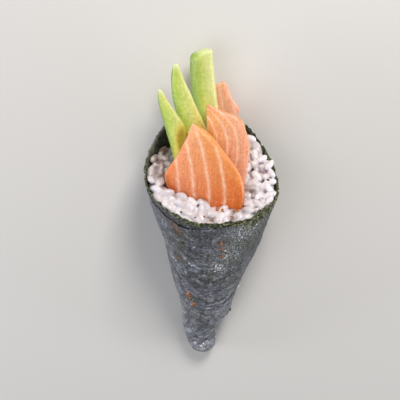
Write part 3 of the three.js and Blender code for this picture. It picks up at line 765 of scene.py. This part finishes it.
salmon = {
    "tones": [(0.06, "#c95512"), (0.24, "#d8702a"), (0.55, "#dc8740"), (0.95, "#e6a561")],
    # the edge colour is the pale rim of each slice, partly fat, partly painted highlight
    "low": "#d8702a", "pink": "#e5a78f", "fat": "#f7d0b4", "edge": "#f5cba8",
    "patterns": [                # mm across, detail, roughness
        (5.0, 3, 0.6),           # wandering of the fat lines
        (3.33, 3, 0.65),         # where they fade
        (5.88, 4, 0.6),          # clouds
    ],
    "fibre": (1.1, 9, 3),        # bundles of muscle fibres: mm across, along and deep
    "cutMark": (0.75, 1.125, 0.975),                # the knife's roughness on the cut, the same way
    "bulge": 0.16,               # the flesh swells by this between its pale bands
    "uneven": 0.22,
    "slices": {
        "salmon_front": {
            "foot": (0, 100, 13), "lean": 12, "bend": 0.7, "rootLean": 1.5, "turn": 12, "bow": 1.3,
            "ridge": 1, "fall": 0, "bandSpacing": 7.1, "bandStart": -0.3, "bandBend": (0.12, 0.0073, 0),
            "pink": (0.4, 0.0), "lift": 0.0, "corner": 0.08,
            "outline": [
                [-36, -7, 6, 3.6], [-20, -13, 9.5, 4.4], [-4, -18.5, 13.6, 4.6], [2, -22.4, 13.8, 4.6],
                [6.5, -23.7, 13.3, 4.5], [12, -21.4, 11.3, 4.4], [17, -19, 7.6, 4.3],
                [22, -17.3, 2.4, 4.2], [27.5, -15.8, -3.2, 3.8], [31, -15.2, -8.4, 3.2],
                [33, -14.6, -13.2, 2.4],
            ],
        },
        "salmon_middle": {
            "foot": (5, 100, 5), "lean": 11, "bend": 0.62, "rootLean": 2.5, "turn": 4, "bow": 0.9,
            "ridge": 1, "fall": 0, "bandSpacing": 4.6, "bandStart": 0.7, "bandBend": (0, 0, 0.00119),
            "pink": (0.0, 0.9), "lift": 0.12, "corner": 0.0,
            "outline": [
                [-36, -4, 6, 3.4], [-20, -8, 8.5, 4.2], [0, -10, 9.4, 4.4], [10, -10.5, 9.8, 4.4],
                [21, -10.4, 10, 4.3], [29, -10.6, 7.3, 4], [34.2, -11.1, 4, 3.4], [36.4, -11.3, -4, 3],
                [38.6, -11.6, -9.8, 2.2],
            ],
        },
        "salmon_rear": {
            "foot": (5, 100, -22), "lean": 8, "bend": 0.15, "rootLean": 14.5, "turn": 0, "bow": 0.4,
            "ridge": 1, "fall": 0, "bandSpacing": 5.2, "bandStart": 3.6, "bandBend": (0.22, 0, 0),
            "pink": (0.35, 1.0), "lift": 0.85, "corner": 0.0,
            "outline": [
                [-36, -5, 3, 3.2], [-18, -6, 4, 3.6], [0, -6, 5, 3.8], [20, -7.2, 4.9, 3.8],
                [23, -7.5, 5.3, 3.8], [27.6, -8, 1.9, 3.7], [32.4, -8, -0.3, 3.4], [36, -4, -2.2, 2.2],
            ],
        },
    },
}


# Raw salmon, cut thin across the grain: moist translucent muscle in bands a few millimetres wide, parted
# by thin layers of white fat that show as soft pale lines.
def makeSalmonFlesh():
    material, add = newMaterial("rawSalmon")
    place, pink, lift = add("SeparateXYZ", {}, add("Attribute", {"attribute_name": "band"})).outputs
    whole, _, height = add("SeparateXYZ", {}, add("Attribute", {"attribute_name": "share"})).outputs
    cut = add("Attribute", {"attribute_name": "cut"})            # across, height, depth in mm
    warp, fade, cloud = (
        add("TexNoise", {"Vector": cut, "Scale": 1 / size, "Detail": detail, "Roughness": rough})
        for size, detail, rough in salmon["patterns"])
    along = add("Mapping", {"vector_type": "TEXTURE", "Vector": cut, "Scale": salmon["fibre"]})
    fibres = add("TexNoise", {
        "Vector": along, "Scale": 1, "Detail": 4, "Roughness": 0.62, "Distortion": 0.35})
    rubbed = add("Mapping", {"vector_type": "TEXTURE", "Vector": cut, "Scale": salmon["cutMark"]})
    grit = add("TexNoise", {"Vector": rubbed, "Scale": 1, "Detail": 5, "Roughness": 0.72, "Distortion": 0.4})

    wander = add("Math", {"operation": "MULTIPLY_ADD"}, warp, 0.3, place)
    bands = add("Math", {"operation": "PINGPONG"}, wander, 0.5)
    lines = add("ValToRGB", {"stops": [(0.0, 1.0), (0.05, 0.8), (0.11, 0.28), (0.24, 0.0)]}, bands)
    # pale rims along both sides of each slice: partly fat at the edge, partly painted highlight
    rims = add("ValToRGB", {"stops": [(0.0, 0.35), (0.03, 0.0), (0.97, 0.0), (1.0, 0.3)]}, whole)
    upwards = add("MapRange", {}, height, -6, 38, -0.2, 0.65)
    paler = add("Math", {"operation": "MULTIPLY_ADD"}, cloud, 0.6, upwards)
    lifted = add("Math", {"operation": "ADD"}, paler, lift)
    colour = layColours(add, add("ValToRGB", {"stops": salmon["tones"]}, lifted), [
        (salmon["pink"], "MIX", pink, 0.7),
        (salmon["fat"], "MIX", (lift, 0.45, 0.95, 0, 0.35)),
        (add("MapRange", {}, fibres, 0.34, 0.66, 0.8, 1.2), "MULTIPLY", 0.6),
        (salmon["low"], "MIX", (grit, 0.54, 0.36, 0, 0.5)),
        # pale flecks: partly fat, partly painted glints of the wet flesh
        (salmon["fat"], "MIX", (grit, 0.53, 0.7, 0, 0.45)),
        (salmon["fat"], "MIX", lines, (fade, 0.32, 0.68, 0.25, 0.95), (whole, 0.84, 0.93, 1, 0)),
        # pale rims: partly fat at the edge, partly painted highlight
        (salmon["edge"], "MIX", rims),
    ])

    relief = add("Math", {"operation": "MULTIPLY_ADD"}, grit, 0.6, fibres)
    bump = add("Bump", {"Strength": 0.6, "Distance": 0.3 * mm, "Height": relief})
    meat = add("BsdfPrincipled", {
        "Base Color": colour, "Roughness": add("MapRange", {}, grit, 0.35, 0.65, 0.28, 0.52), "Normal": bump,
        "IOR": 1.42, "Subsurface Weight": 0.3, "Subsurface Radius": (1.0, 0.42, 0.2),
        "Subsurface Scale": 2.0 * mm, "Coat Weight": 0.15, "Coat Roughness": 0.28})
    add("OutputMaterial", {"Surface": meat})
    return material


def makeSalmon():
    material = makeSalmonFlesh()
    for number, (node, slice) in enumerate(salmon["slices"].items()):
        faces, points, place, share = sliceSkin(slice, 0.8)
        x, y, z = place.T
        whole, _, height = share.T
        rise = np.maximum(0, y)
        first, second, third = slice["bandBend"]
        across = x + first * rise + second * rise ** 2 + third * np.maximum(0, rise - 16) ** 3
        bands = (across - slice["bandStart"]) / slice["bandSpacing"]
        swollen = (np.abs(np.sin(np.pi * (bands + 0.15))) ** 0.5 - 1) * salmon["bulge"]
        uneven = salmon["uneven"] * bumps(x / 7, y / 9, z / 4 + 5 * number, 3)
        points = swell(points, faces, swollen + uneven)
        top = slice["outline"][-1][0]
        corner = (1 - smoothStep(whole, 0.02, 0.2)) * (1 - smoothStep(height, 8, 20))
        left, right = slice["pink"]
        pink = (left + (right - left) * smoothStep(whole, 0.1, 0.8)) * (1 - corner)
        lift = slice["lift"] + 0.35 * smoothStep(height, top - 9, top) - slice["corner"] * corner
        marks = {"band": np.column_stack([bands, pink, lift]), "share": share,
                 "cut": place + [31 * number, 0, 0]}
        makeSlice(node, points, faces, material, marks)
    print("salmon made")


makeSalmon()

avocado = {
    "skinSide": "#83a224", "cut": "#e6e9b4", "bruise": "#8b8b36",
    "across": [(0.2, "#b3c955"), (0.95, "#d8da82")],       # from the middle of a wedge to its heart
    # near the fish: the stone side's yellow, darkened by painted shade and orange bounce light
    "goldAndShade": [(0.4, "#d6b233"), (1.0, "#998200")],
    "warmFrom": 1, "warmTo": 8,  # mm to the fish, where the stone side shows yellow and painted shade falls
    "patterns": [                # mm across, detail, roughness
        (6.25, 4, 0.6),          # clouds
        (1.25, 4, 0.65),         # dents
        (0.909, 2, 0.6),         # smears of the knife
    ],
    "thread": (0.9, 7, 1.5),     # mm across, along and deep
    "bruises": 4.545,            # mm between them
    "uneven": 0.2,
    # a wedge's right part is lightened by painted light, most on the tall one
    "slices": {
        "avocado_left": {
            "foot": (-10, 100, 3), "lean": 14, "bend": 0.3, "rootLean": 5.3, "turn": 0, "bow": 0,
            "ridge": 0.25, "fall": 0.3, "paintedLight": 0.0, "gold": 1.5, "goldTo": 32,
            "outline": [
                [-36, 0, 8, 3.5], [-18, -3, 6, 4.2], [0, -6.5, 3.4, 4.6], [13, -9.2, 0.5, 4.8],
                [27, -13.8, -4.2, 4.8], [37, -16.7, -11.4, 4], [43.6, -17.5, -15.7, 2.4],
            ],
        },
        "avocado_middle": {
            "foot": (-6, 100, -5), "lean": 12, "bend": 0.2, "rootLean": 8.3, "turn": 0, "bow": 0,
            "ridge": 0.25, "fall": 0.3, "paintedLight": 0.05, "gold": 1.0, "goldTo": 60,
            "outline": [
                [-36, -5, 6, 3.5], [-18, -7, 5.5, 4.4], [0, -8.5, 5.5, 4.8], [20, -11, 2.2, 5],
                [27, -12.5, -0.9, 5], [36, -14.9, -5.5, 5], [45, -15.8, -10, 4.2], [51.6, -15.3, -12.9, 2.4],
            ],
        },
        "avocado_tall": {
            "foot": (-2, 100, -13), "lean": 9, "bend": 0.1, "rootLean": 12, "turn": 0, "bow": 0,
            "ridge": 0.4, "fall": 0.6, "paintedLight": 0.3, "gold": 1.0, "goldTo": 60,
            "outline": [
                [-36, -4, 6, 5], [-18, -5, 6, 6], [8, -7.5, 5, 6.8], [24, -9.4, 3, 7.2],
                [37, -11, 0.8, 7.4], [48, -11.9, -1, 7.2], [52.6, -11.2, -1.6, 6.6],
                [55.6, -6.2, -2, 5.6],
            ],
        },
    },
}


# Ripe avocado, peeled and cut with a knife: buttery flesh, green where the skin was and yellow towards
# the stone, smooth on the cuts with small dents and threads. Near the fish the yellow is darkened by
# painted shade and bounce light, and the right and top edges carry painted highlights.
def makeAvocadoFlesh():
    material, add = newMaterial("ripeAvocado")
    whole, _, _ = add("SeparateXYZ", {}, add("Attribute", {"attribute_name": "share"})).outputs
    front, goldAndShadeShare, edge = add("SeparateXYZ", {}, add("Attribute", {"attribute_name": "facet"})).outputs
    cut = add("Attribute", {"attribute_name": "cut"})            # across, height, depth in mm
    cloud, dents, smears = (
        add("TexNoise", {"Vector": cut, "Scale": 1 / size, "Detail": detail, "Roughness": rough})
        for size, detail, rough in avocado["patterns"])
    along = add("Mapping", {"vector_type": "TEXTURE", "Vector": cut, "Scale": avocado["thread"]})
    threads = add("TexNoise", {"Vector": along, "Scale": 1, "Detail": 3, "Roughness": 0.6})
    bruises = add("TexVoronoi", {"Vector": cut, "Scale": 1 / avocado["bruises"], "Randomness": 1.0})

    clouded = add("MapRange", {}, cloud, 0.35, 0.65, -0.2, 0.25)
    across = add("Math", {"operation": "ADD"}, clouded, whole)
    colour = layColours(add, avocado["skinSide"], [
        (add("ValToRGB", {"stops": avocado["across"]}, across), "MIX", front),
        # near the fish: yellow darkened by painted shade and bounce light
        (add("ValToRGB", {"stops": avocado["goldAndShade"]}, goldAndShadeShare), "MIX", (goldAndShadeShare, 0, 0.8, 0, 0.95)),
        (add("MapRange", {}, dents, 0.32, 0.66, 0.78, 1.12), "MULTIPLY", 0.8),
        (add("MapRange", {}, threads, 0.35, 0.65, 0.88, 1.08), "MULTIPLY", 0.6),
        (avocado["bruise"], "MIX", (bruises, 0.05, 0.13, 0.55, 0)),
        (avocado["cut"], "MIX", (smears, 0.54, 0.66, 0, 0.42), (front, 0, 1, 1, 0.25)),
        # pale edges on the right and top: partly the pale cut, partly painted highlight, with painted light
        # on the tall wedge's right
        (avocado["cut"], "MIX", edge),
    ])

    bump = add("Bump", {"Strength": 0.5, "Distance": 0.35 * mm, "Height": dents})
    flesh = add("BsdfPrincipled", {
        "Base Color": colour, "Roughness": add("MapRange", {}, dents, 0.3, 0.7, 0.36, 0.56), "Normal": bump,
        "IOR": 1.44, "Subsurface Weight": 0.25, "Subsurface Radius": (0.8, 0.9, 0.3),
        "Subsurface Scale": 1.6 * mm, "Coat Weight": 0.1, "Coat Roughness": 0.3})
    add("OutputMaterial", {"Surface": flesh})
    return material


def makeAvocado():
    material = makeAvocadoFlesh()
    fish = skinTree(slicePieces)
    for number, (node, slice) in enumerate(avocado["slices"].items()):
        faces, points, place, share = sliceSkin(slice, 0.9)
        x, y, z = place.T
        whole, backness, height = share.T
        uneven = avocado["uneven"] * (bumps(x / 5, y / 8, z / 5 + 7 * number, 3) - 0.5)
        points = swell(points, faces, uneven)
        front = np.maximum(smoothStep(whole, 0.0, slice["ridge"]), smoothStep(backness, 0.6, 0.9))
        # yellow near the fish, darkened as painted shade and orange bounce light
        far = np.array([fish.find_nearest(Vector(point))[3] for point in points])
        goldAndShade = 1 - smoothStep(far, avocado["warmFrom"], avocado["warmTo"])
        goldAndShade = np.minimum(1, slice["gold"] * goldAndShade * (0.25 + 0.75 * smoothStep(whole, 0.3, 0.6)))
        goldAndShade = goldAndShade * (1 - 0.7 * smoothStep(height, slice["goldTo"] - 9, slice["goldTo"]))
        top = slice["outline"][-1][0]
        # paler along the right edge and the top: partly the pale cut, partly painted highlight; and painted
        # light over a wedge's right part
        pale = 0.55 * smoothStep(whole, 0.92, 1.0) * smoothStep(height, 20, 36)
        pale = np.maximum(pale, 0.7 * smoothStep(height, top - 3.5, top - 0.4))
        pale = np.maximum(pale, slice["paintedLight"] * smoothStep(whole, 0.45, 0.85))
        marks = {"share": share, "facet": np.column_stack([front, goldAndShade, pale]),
                 "cut": place + [23 * number, 0, 0]}
        makeSlice(node, points, faces, material, marks)
    print("avocado made")


makeAvocado()

riceBed = {
    "radius": 30,
    "level": 97.6,           # height of the bed in the middle, without the grains
    "sideRise": 1.2,
    "backRise": 2.4,
    "crown": 0.8,
    "lumpHeight": 0.6,
    "lumpTurns": (0.55, 0.6),
    "mounds": [              # place across and to the front, height and spread
        (4, 15, -1.8, 9),    # lower in front of the salmon
        (15, -28, 8.5, 13),  # heaped up behind the fillings, on the right
        (-27, -20, 10, 12),  # and against the leaf on the left
        (-30, 5, 6.5, 12), (-31, -7, 4, 7), (-18, 22, 2.4, 8), (-12.5, 15, 2.2, 5.5), (28, -12, 5, 7.5),
    ],
    "bottom": 4.9,
    "coreDrop": 2.6,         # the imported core's top lies this far under the bed
    "coreFill": 2.4,         # and higher by this in front of the salmon, where the rice is pressed together
    "coreLumps": 0.5,
    "slab": 3.5,             # thickness of its top that is fused with the grains
    "clear": 0.2,            # to the leaf
}

grain = {
    "length": 7.3, "width": 4.1, "thickness": 3.8,
    "sizes": (0.82, 1.08),
    "layers": [(-2.1, 220, 3.6), (0.3, 190, 3.9)],    # height over the bed, count and spacing
    "attempts": 9000,
    "uneven": 0.7,           # and how much a grain's own height differs from it
    "leans": 34,
    "rings": 11, "sides": 12,
    "settle": 60,            # rounds in which overlapping grains push one another apart
    "lookAgain": 10,         # and how often each looks for its neighbours again
    "touch": 0.82,           # they stay this share of their thickness apart, stuck together
    "voxel": 0.3,            # mm between the points of the fused skin
    "soften": 7,             # rounds of smoothing where starch fills the creases
    "seed": 11,
    "pearl": "#ece9ef", "shade": "#cdc5c8", "stain": "#b98a72", "fat": "#6e4d3d",
    "dent": 1.1,             # mm between the dents in a grain
    "soak": 3.4,             # and between the spots where fat soaks in
    "fatPlaces": [           # across, to the front, spread in mm: where the fish's fat has soaked in; the first three, on the left, are painted shade
        (-22, 1, 6), (-24, -5, 6), (-24, -13, 6), (16.9, 5, 3), (-4.6, 12, 3), (11, 17, 3), (0.5, 24.3, 2.0),
        (9.3, 22.3, 1.8),
    ],
    "stainAndShadeNearFish": 0.28,       # stained by the fish within 3 mm of it, partly painted shade and orange bounce light
    "shadeInGaps": 0.42,       # and painted shade in the gaps between the grains
}


def bedHeight(x, front):
    lumps = np.sin(x * riceBed["lumpTurns"][0] + 1) * np.cos(front * riceBed["lumpTurns"][1] + 0.4)
    level = riceBed["level"] + riceBed["crown"] * (1 - (x * x + front * front) / riceBed["radius"] ** 2)
    level = level + riceBed["lumpHeight"] * lumps
    level = level + (riceBed["sideRise"] * x - riceBed["backRise"] * front) / riceBed["radius"]
    for left, ahead, height, spread in riceBed["mounds"]:
        level = level + height * bell(np.hypot(x - left, front - ahead), spread)
    return level


# Steamed short-grain rice: plump grains, pearly and a little see-through, glossy with starch, stained
# where they touch the fish. Shade is painted in the gaps between the grains, beside the fish and on the
# left.
def makeSteamedRice():
    material, add = newMaterial("steamedRice")
    tone, stain, fat = add("SeparateXYZ", {}, add("Attribute", {"attribute_name": "kernel"})).outputs
    dents, soaked = (
        add("TexNoise", {"Vector": add("TexCoord", {}), "Scale": 1 / (size * mm), "Detail": 3})
        for size in (grain["dent"], grain["soak"]))
    colour = layColours(add, grain["shade"], [
        (grain["pearl"], "MIX", tone),
        # stain near the fish, partly painted shade and bounce light, and painted shade in the gaps
        (grain["stain"], "MIX", stain),
        # soaked fat, and painted shade on the rice on the left
        (grain["fat"], "MIX", (soaked, 0.38, 0.58, 0.55, 1), fat),
    ])
    bump = add("Bump", {"Strength": 0.3, "Distance": 0.12 * mm, "Height": dents})
    starch = add("BsdfPrincipled", {
        "Base Color": colour, "Normal": bump, "Roughness": 0.32, "IOR": 1.4, "Subsurface Weight": 0.6,
        "Subsurface Radius": (1.0, 0.88, 0.84), "Subsurface Scale": 1.8 * mm, "Coat Weight": 0.3,
        "Coat Roughness": 0.18})
    add("OutputMaterial", {"Surface": starch})
    return material


# One grain lying along x: blunt ends, a flatter belly and a dent at one end where the germ was.
def grainShape():
    turns = np.linspace(0, np.pi, grain["rings"] + 2)[1:-1]
    around = np.linspace(0, 2 * np.pi, grain["sides"], endpoint=False)
    turn, side = np.meshgrid(turns, around, indexing="ij")
    x = -np.cos(turn)
    radius = np.sin(turn) ** 0.86
    z = radius * np.sin(side) * np.where(np.sin(side) < 0, 0.9, 1.0)
    dent = np.exp(-((x - 0.86) ** 2 + (z - 0.35) ** 2) / 0.05)
    ring = np.stack([x - 0.1 * dent, radius * np.cos(side), z - 0.16 * dent], -1).reshape(-1, 3)
    count, sides = len(ring), grain["sides"]
    faces = gridFaces(grain["rings"], sides, wrapColumns=True)
    faces += capFaces(0, sides, count, True) + capFaces(count - sides, sides, count + 1, False)
    return np.vstack([ring, [[-1, 0, 0], [1, 0, 0]]]), faces


# Places grains in layers over the bed, a spacing apart, each a rod between two ends.
def scatterGrains(rng, slices):
    middles, axes = [], []
    reach = coneRadius(riceBed["level"]) - leaf["rimWall"] - riceBed["clear"]
    for over, count, spacing in grain["layers"]:
        layer = []
        for attempt in range(grain["attempts"]):
            if len(layer) >= count:
                break
            turn, share = rng.uniform(0, 2 * np.pi), np.sqrt(rng.uniform())
            x, z = reach * share * np.cos(turn), reach * share * np.sin(turn)
            place = np.array([x, bedHeight(x, z) + over + rng.uniform(-1, 1) * grain["uneven"], z])
            if layer and np.min(np.linalg.norm(np.array(layer) - place, axis=1)) < spacing:
                continue
            hit = slices.find_nearest(Vector(place))
            if (Vector(place) - hit[0]).dot(hit[1]) < 0.9:
                continue
            layer.append(place)
            yaw, lean = rng.uniform(0, 2 * np.pi), np.radians(rng.uniform(-grain["leans"], grain["leans"]))
            axes.append([np.cos(yaw) * np.cos(lean), np.sin(lean), np.sin(yaw) * np.cos(lean)])
        middles += layer
    return np.array(middles), np.array(axes)


# Lets the grains push one another, the slices and the leaf away until they only just touch. Each is a
# rod of four balls.
def settleGrains(middles, axes, lengths, slices):
    radius = grain["thickness"] / 2
    touch = radius * grain["touch"]
    half = (lengths / 2 - radius)[:, None]
    ends = np.stack([middles - axes * half, middles + axes * half], 1)
    shares = np.array([0.0, 0.33, 0.67, 1.0])
    owner = np.repeat(np.arange(len(middles)), len(shares))
    share = np.tile(shares, len(middles))
    for round in range(grain["settle"]):
        balls = ends[owner, 0] * (1 - share)[:, None] + ends[owner, 1] * share[:, None]
        if round % grain["lookAgain"] == 0:
            apart = np.linalg.norm(balls[:, None, :] - balls[None, :, :], axis=2)
            one, other = np.nonzero((apart < 2 * radius + 1.5) & (owner[:, None] != owner[None, :]))
        gaps = balls[one] - balls[other]
        far = np.linalg.norm(gaps, axis=1) + 1e-9
        shift = np.zeros_like(balls)
        np.add.at(shift, one, (0.3 * np.clip(2 * touch - far, 0, None) / far)[:, None] * gaps)
        for i, ball in enumerate(balls):
            hit = slices.find_nearest(Vector(ball), 4.0)
            if hit[0] is not None:
                clear = (Vector(ball) - hit[0]).dot(hit[1])
                shift[i] += np.array(hit[1]) * max(0.0, touch - clear) * 0.6
        out = np.hypot(balls[:, 0], balls[:, 2])
        angle = np.degrees(np.arctan2(balls[:, 0], balls[:, 2]))
        wall = skinPoint(angle, balls[:, 1], leaf["rimWall"] + riceBed["clear"])
        over = np.clip(out - np.hypot(wall[:, 0], wall[:, 2]) + touch, 0, None) / np.maximum(out, 1e-6)
        shift[:, ::2] -= balls[:, ::2] * over[:, None]
        for end, weight in ((0, 1 - share), (1, share)):
            np.add.at(ends[:, end], owner, shift * weight[:, None] * 0.6)
        middle = ends.mean(1)
        middle[:, 1] += (middles[:, 1] - middle[:, 1]) * 0.12
        axis = ends[:, 1] - ends[:, 0]
        axis /= np.linalg.norm(axis, axis=1)[:, None]
        ends = np.stack([middle - axis * half, middle + axis * half], 1)
    return middle, axis


# Joins overlapping closed skins into one and softens the creases between them.
def fuse(points, faces):
    mesh = bpy.data.meshes.new("scratch")
    mesh.from_pydata(points.tolist(), [], faces)
    holder = addObject("scratch", mesh)
    remesh = holder.modifiers.new("fused", "REMESH")
    remesh.mode = "VOXEL"
    remesh.voxel_size = grain["voxel"]
    soften = holder.modifiers.new("softened", "SMOOTH")
    soften.factor = 0.5
    soften.iterations = grain["soften"]
    depsgraph = bpy.context.evaluated_depsgraph_get()
    fused = bpy.data.meshes.new_from_object(holder.evaluated_get(depsgraph))
    points = np.zeros(len(fused.vertices) * 3)
    fused.vertices.foreach_get("co", points)
    faces = [list(polygon.vertices) for polygon in fused.polygons]
    bpy.data.objects.remove(holder)
    bpy.data.meshes.remove(mesh)
    bpy.data.meshes.remove(fused)
    return points.reshape(-1, 3), faces


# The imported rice: rings of points up its side from a height, then over its lumpy top.
def coreSkin(bottom):
    angles = np.linspace(0, 360, 96, endpoint=False)
    inset = leaf["wall"] + 0.5
    top = riceBed["level"] - riceBed["coreDrop"]
    rings = [skinPoint(angles, bottom + (top - bottom) * part, inset) for part in np.linspace(0, 1, 9)]
    for part in np.linspace(0.97, 0.04, 26):
        ring = skinPoint(angles, top, inset) * [part, 1, part]
        filled = riceBed["coreFill"] * smoothStep(ring[:, 2] - 0.5 * ring[:, 0], 8, 20)
        lumps = riceBed["coreLumps"] * bumps(*(ring / 1.8).T, 2)
        ring[:, 1] = bedHeight(ring[:, 0], ring[:, 2]) - riceBed["coreDrop"] + filled + lumps
        rings.append(ring)
    points = np.concatenate(rings + [[rings[0].mean(0)], [rings[-1].mean(0)]])
    size, count = len(angles), len(points) - 2
    faces = gridFaces(len(rings), size, wrapColumns=True)
    return points, faces + capFaces(0, size, count, True) + capFaces(count - size, size, count + 1, False)


def makeRice():
    rng = np.random.default_rng(grain["seed"])
    slices = skinTree(slicePieces)
    material = makeSteamedRice()
    middles, axes = scatterGrains(rng, slices)
    sizes = rng.uniform(*grain["sizes"], len(middles))
    middles, axes = settleGrains(middles, axes, grain["length"] * sizes, slices)
    shape, shapeFaces = grainShape()
    kernels = []
    for middle, axis, size in zip(middles, axes, sizes):
        side = np.cross(axis, rng.normal(size=3))
        side /= np.linalg.norm(side)
        own = shape * np.array([grain["length"], grain["width"], grain["thickness"]]) / 2 * size
        own[:, 1] += shape[:, 0] ** 2 * rng.uniform(-0.3, 0.3)
        own *= (1 + 0.12 * bumps(*(shape * 1.3).T, 1, rng.uniform(0, 99)))[:, None]
        kernels.append((middle + own @ np.stack([axis, side, np.cross(axis, side)]), shapeFaces))
    skins = kernels + [coreSkin(riceBed["level"] - riceBed["coreDrop"] - riceBed["slab"])]
    faces = []
    for number, (_, skinFaces) in enumerate(skins):
        faces += shiftFaces(skinFaces, number * len(shape))
    points, faces = fuse(np.concatenate([skin for skin, _ in skins]), faces)

    tones = rng.uniform(0.1, 1, len(middles))
    grains = skinTree(kernels)
    marks = []
    for point in points:
        hit = slices.find_nearest(Vector(point), 9.0)
        near = (Vector(point) - hit[0]).length if hit[0] is not None else 9.0
        own = grains.find_nearest(Vector(point))[2] // len(shapeFaces)
        # how far under the bed a point lies, for the painted shade in the gaps
        deep = smoothStep(bedHeight(point[0], point[2]) - point[1], -1.0, 2.2)
        fat = max(bell(math.hypot(point[0] - x, point[2] - z), spread)
                  for x, z, spread in grain["fatPlaces"])
        stain = grain["stainAndShadeNearFish"] * max(0.0, 1 - near / 3) + grain["shadeInGaps"] * deep
        marks.append([tones[own], min(0.9, stain), fat])
    makePiece("riceGrains", points, faces, material, {"kernel": marks}, "rice")
    carriers["rice"] = BVHTree.FromPolygons(points.tolist(), faces)
    print("rice made:", len(middles), "grains,", len(faces), "faces")

    core, faces = coreSkin(riceBed["bottom"])
    core[:, 1] = np.minimum(core[:, 1], bedHeight(core[:, 0], core[:, 2]) - riceBed["coreDrop"] - 1.2)
    # the core only shows in the gaps between grains, toned down and stained as their painted shade
    marks = {"kernel": np.tile([0.2, 0.45, 0], (len(core), 1))}
    makePiece("riceCore", core, faces, material, marks)


makeRice()

crumbs = {
    "fishCrumbs": {
        "material": "salmonShreds", "slot": "salmon",
        "dark": "#92441d", "light": "#d48a48", "roughness": 0.35,
        "onLeaf": [          # angle, height along the cone, length, width, turned in degrees
            (-28.4, 44.6, 3.0, 1.7, 10), (-26.4, 42.0, 1.6, 1.1, 60), (-22.5, 37.2, 2.4, 1.6, 20),
            (-20.0, 38.6, 1.3, 0.9, -40), (11.0, 86.4, 2.5, 1.0, 12), (12.6, 82.8, 1.0, 0.7, -20),
            (13.4, 76.3, 1.7, 0.8, 0), (-39.3, 68.5, 1.4, 0.8, 30),
        ],
        "onRice": [          # across, to the front, length, width, turned
            (3.2, 15.4, 3.2, 2.2, 70), (5.0, 17.2, 1.7, 1.2, 20), (-4.6, 12.0, 2.4, 1.5, 80),
            (11.2, 18.4, 2.6, 1.7, 85), (-3.1, 22.6, 1.4, 0.8, 30), (9.3, 22.3, 1.3, 0.8, 70),
            (0.5, 24.3, 1.2, 0.7, 10),
        ],
        "scattered": [],
    },
    "laverCrumbs": {
        "material": "laverFlakes", "slot": "nori",
        "dark": "#10120b", "light": "#39401f", "roughness": 0.5,
        "onLeaf": [
            (50, 96.5, 2.6, 1.5, 70), (58, 97.5, 2.2, 1.4, 30), (42, 96.0, 2.0, 1.2, 100),
            (82, 24.5, 2.2, 1.4, 0),
        ],
        "onRice": [
            (-13.5, 22.1, 1.3, 1.0, 30), (25, -1.3, 1.3, 1.1, 0), (22.3, -17.4, 1.2, 1.0, 60),
            (-7, 24, 1.1, 0.7, 80),
        ],
        "scattered": [],
    },
    "starchCrumbs": {
        "material": "driedStarch", "slot": "rice",
        "dark": "#b2b3ab", "light": "#eff0ee", "roughness": 0.4,
        "onLeaf": [
            (77, 41.5, 2.8, 1.5, 70), (-21.7, 5.5, 1.7, 1.2, 10), (1, 2.8, 1.8, 1.2, 60),
            (8, 4.5, 1.0, 0.7, 0),
        ],
        "onRice": [],
        "scattered": [       # angle, height along the cone, spread, count
            (12.3, 67.7, 3.6, 22), (34, 91, 6.5, 16), (22, 77, 5, 8), (0, 4, 3, 6),
        ],
    },
}

crumb = {"thickness": 0.6, "lumpy": 0.4, "sunk": 0.35, "small": (0.45, 0.95), "mottle": 0.8, "seed": 5}


# Torn bits of the fillings and the leaf, and dried starch: matt and uneven in tone.
def makeCrumbMaterial(kind):
    material, add = newMaterial(kind["material"])
    mottle = add("TexNoise", {
        "Vector": add("TexCoord", {}), "Scale": 1 / (crumb["mottle"] * mm), "Detail": 3})
    tone = add("ValToRGB", {"stops": [(0.4, kind["dark"]), (0.6, kind["light"])]}, mottle)
    bump = add("Bump", {"Strength": 0.5, "Distance": 0.15 * mm, "Height": mottle})
    bit = add("BsdfPrincipled", {
        "Base Color": tone, "Roughness": kind["roughness"], "IOR": 1.45, "Normal": bump})
    add("OutputMaterial", {"Surface": bit})
    return material


# Where a crumb lies on the rice or on the leaf, and which way the surface faces there.
def crumbSpot(carrier, first, second):
    if carrier == "rice":
        return carriers["rice"].ray_cast(Vector((first, 130, second)), Vector((0, -1, 0)))[:2]
    outside = Vector(skinPoint(np.array([first]), np.array([second]), 0.0, 6.0)[0])
    return carriers["leaf"].ray_cast(outside, Vector((0, second, 0)) - outside)[:2]


def makeCrumbs():
    rng = np.random.default_rng(crumb["seed"])
    shape, shapeFaces = grainShape()
    for name, kind in crumbs.items():
        places = [("leaf", *place) for place in kind["onLeaf"]]
        places += [("rice", *place) for place in kind["onRice"]]
        for angle, along, spread, count in kind["scattered"]:
            for number in range(count):
                off = rng.normal(size=2) * spread / 2
                size = rng.uniform(*crumb["small"])
                turned = angle + math.degrees(off[0] / coneRadius(along))
                places.append(("leaf", turned, along + off[1], size, size * 0.75, rng.uniform(0, 180)))
        points, faces = [], []
        for carrier, first, second, length, width, turn in places:
            spot, normal = (np.array(part) for part in crumbSpot(carrier, first, second))
            side = np.cross(normal, [0, 1, 0.3])
            side /= np.linalg.norm(side)
            turn = math.radians(turn)
            long = np.cross(side, normal) * math.cos(turn) + side * math.sin(turn)
            thick = crumb["thickness"] * width
            own = shape * (1 + crumb["lumpy"] * bumps(*(shape * 1.2).T, 2, rng.uniform(0, 99)))[:, None]
            own = own * np.array([length, width, thick]) / 2
            faces += shiftFaces(shapeFaces, len(shape) * len(points))
            middle = spot + normal * thick * (0.5 - crumb["sunk"])
            points.append(middle + own @ np.stack([long, np.cross(normal, long), normal]))
        makePiece(name, np.concatenate(points), faces, makeCrumbMaterial(kind), {})
    print("crumbs made")


makeCrumbs()
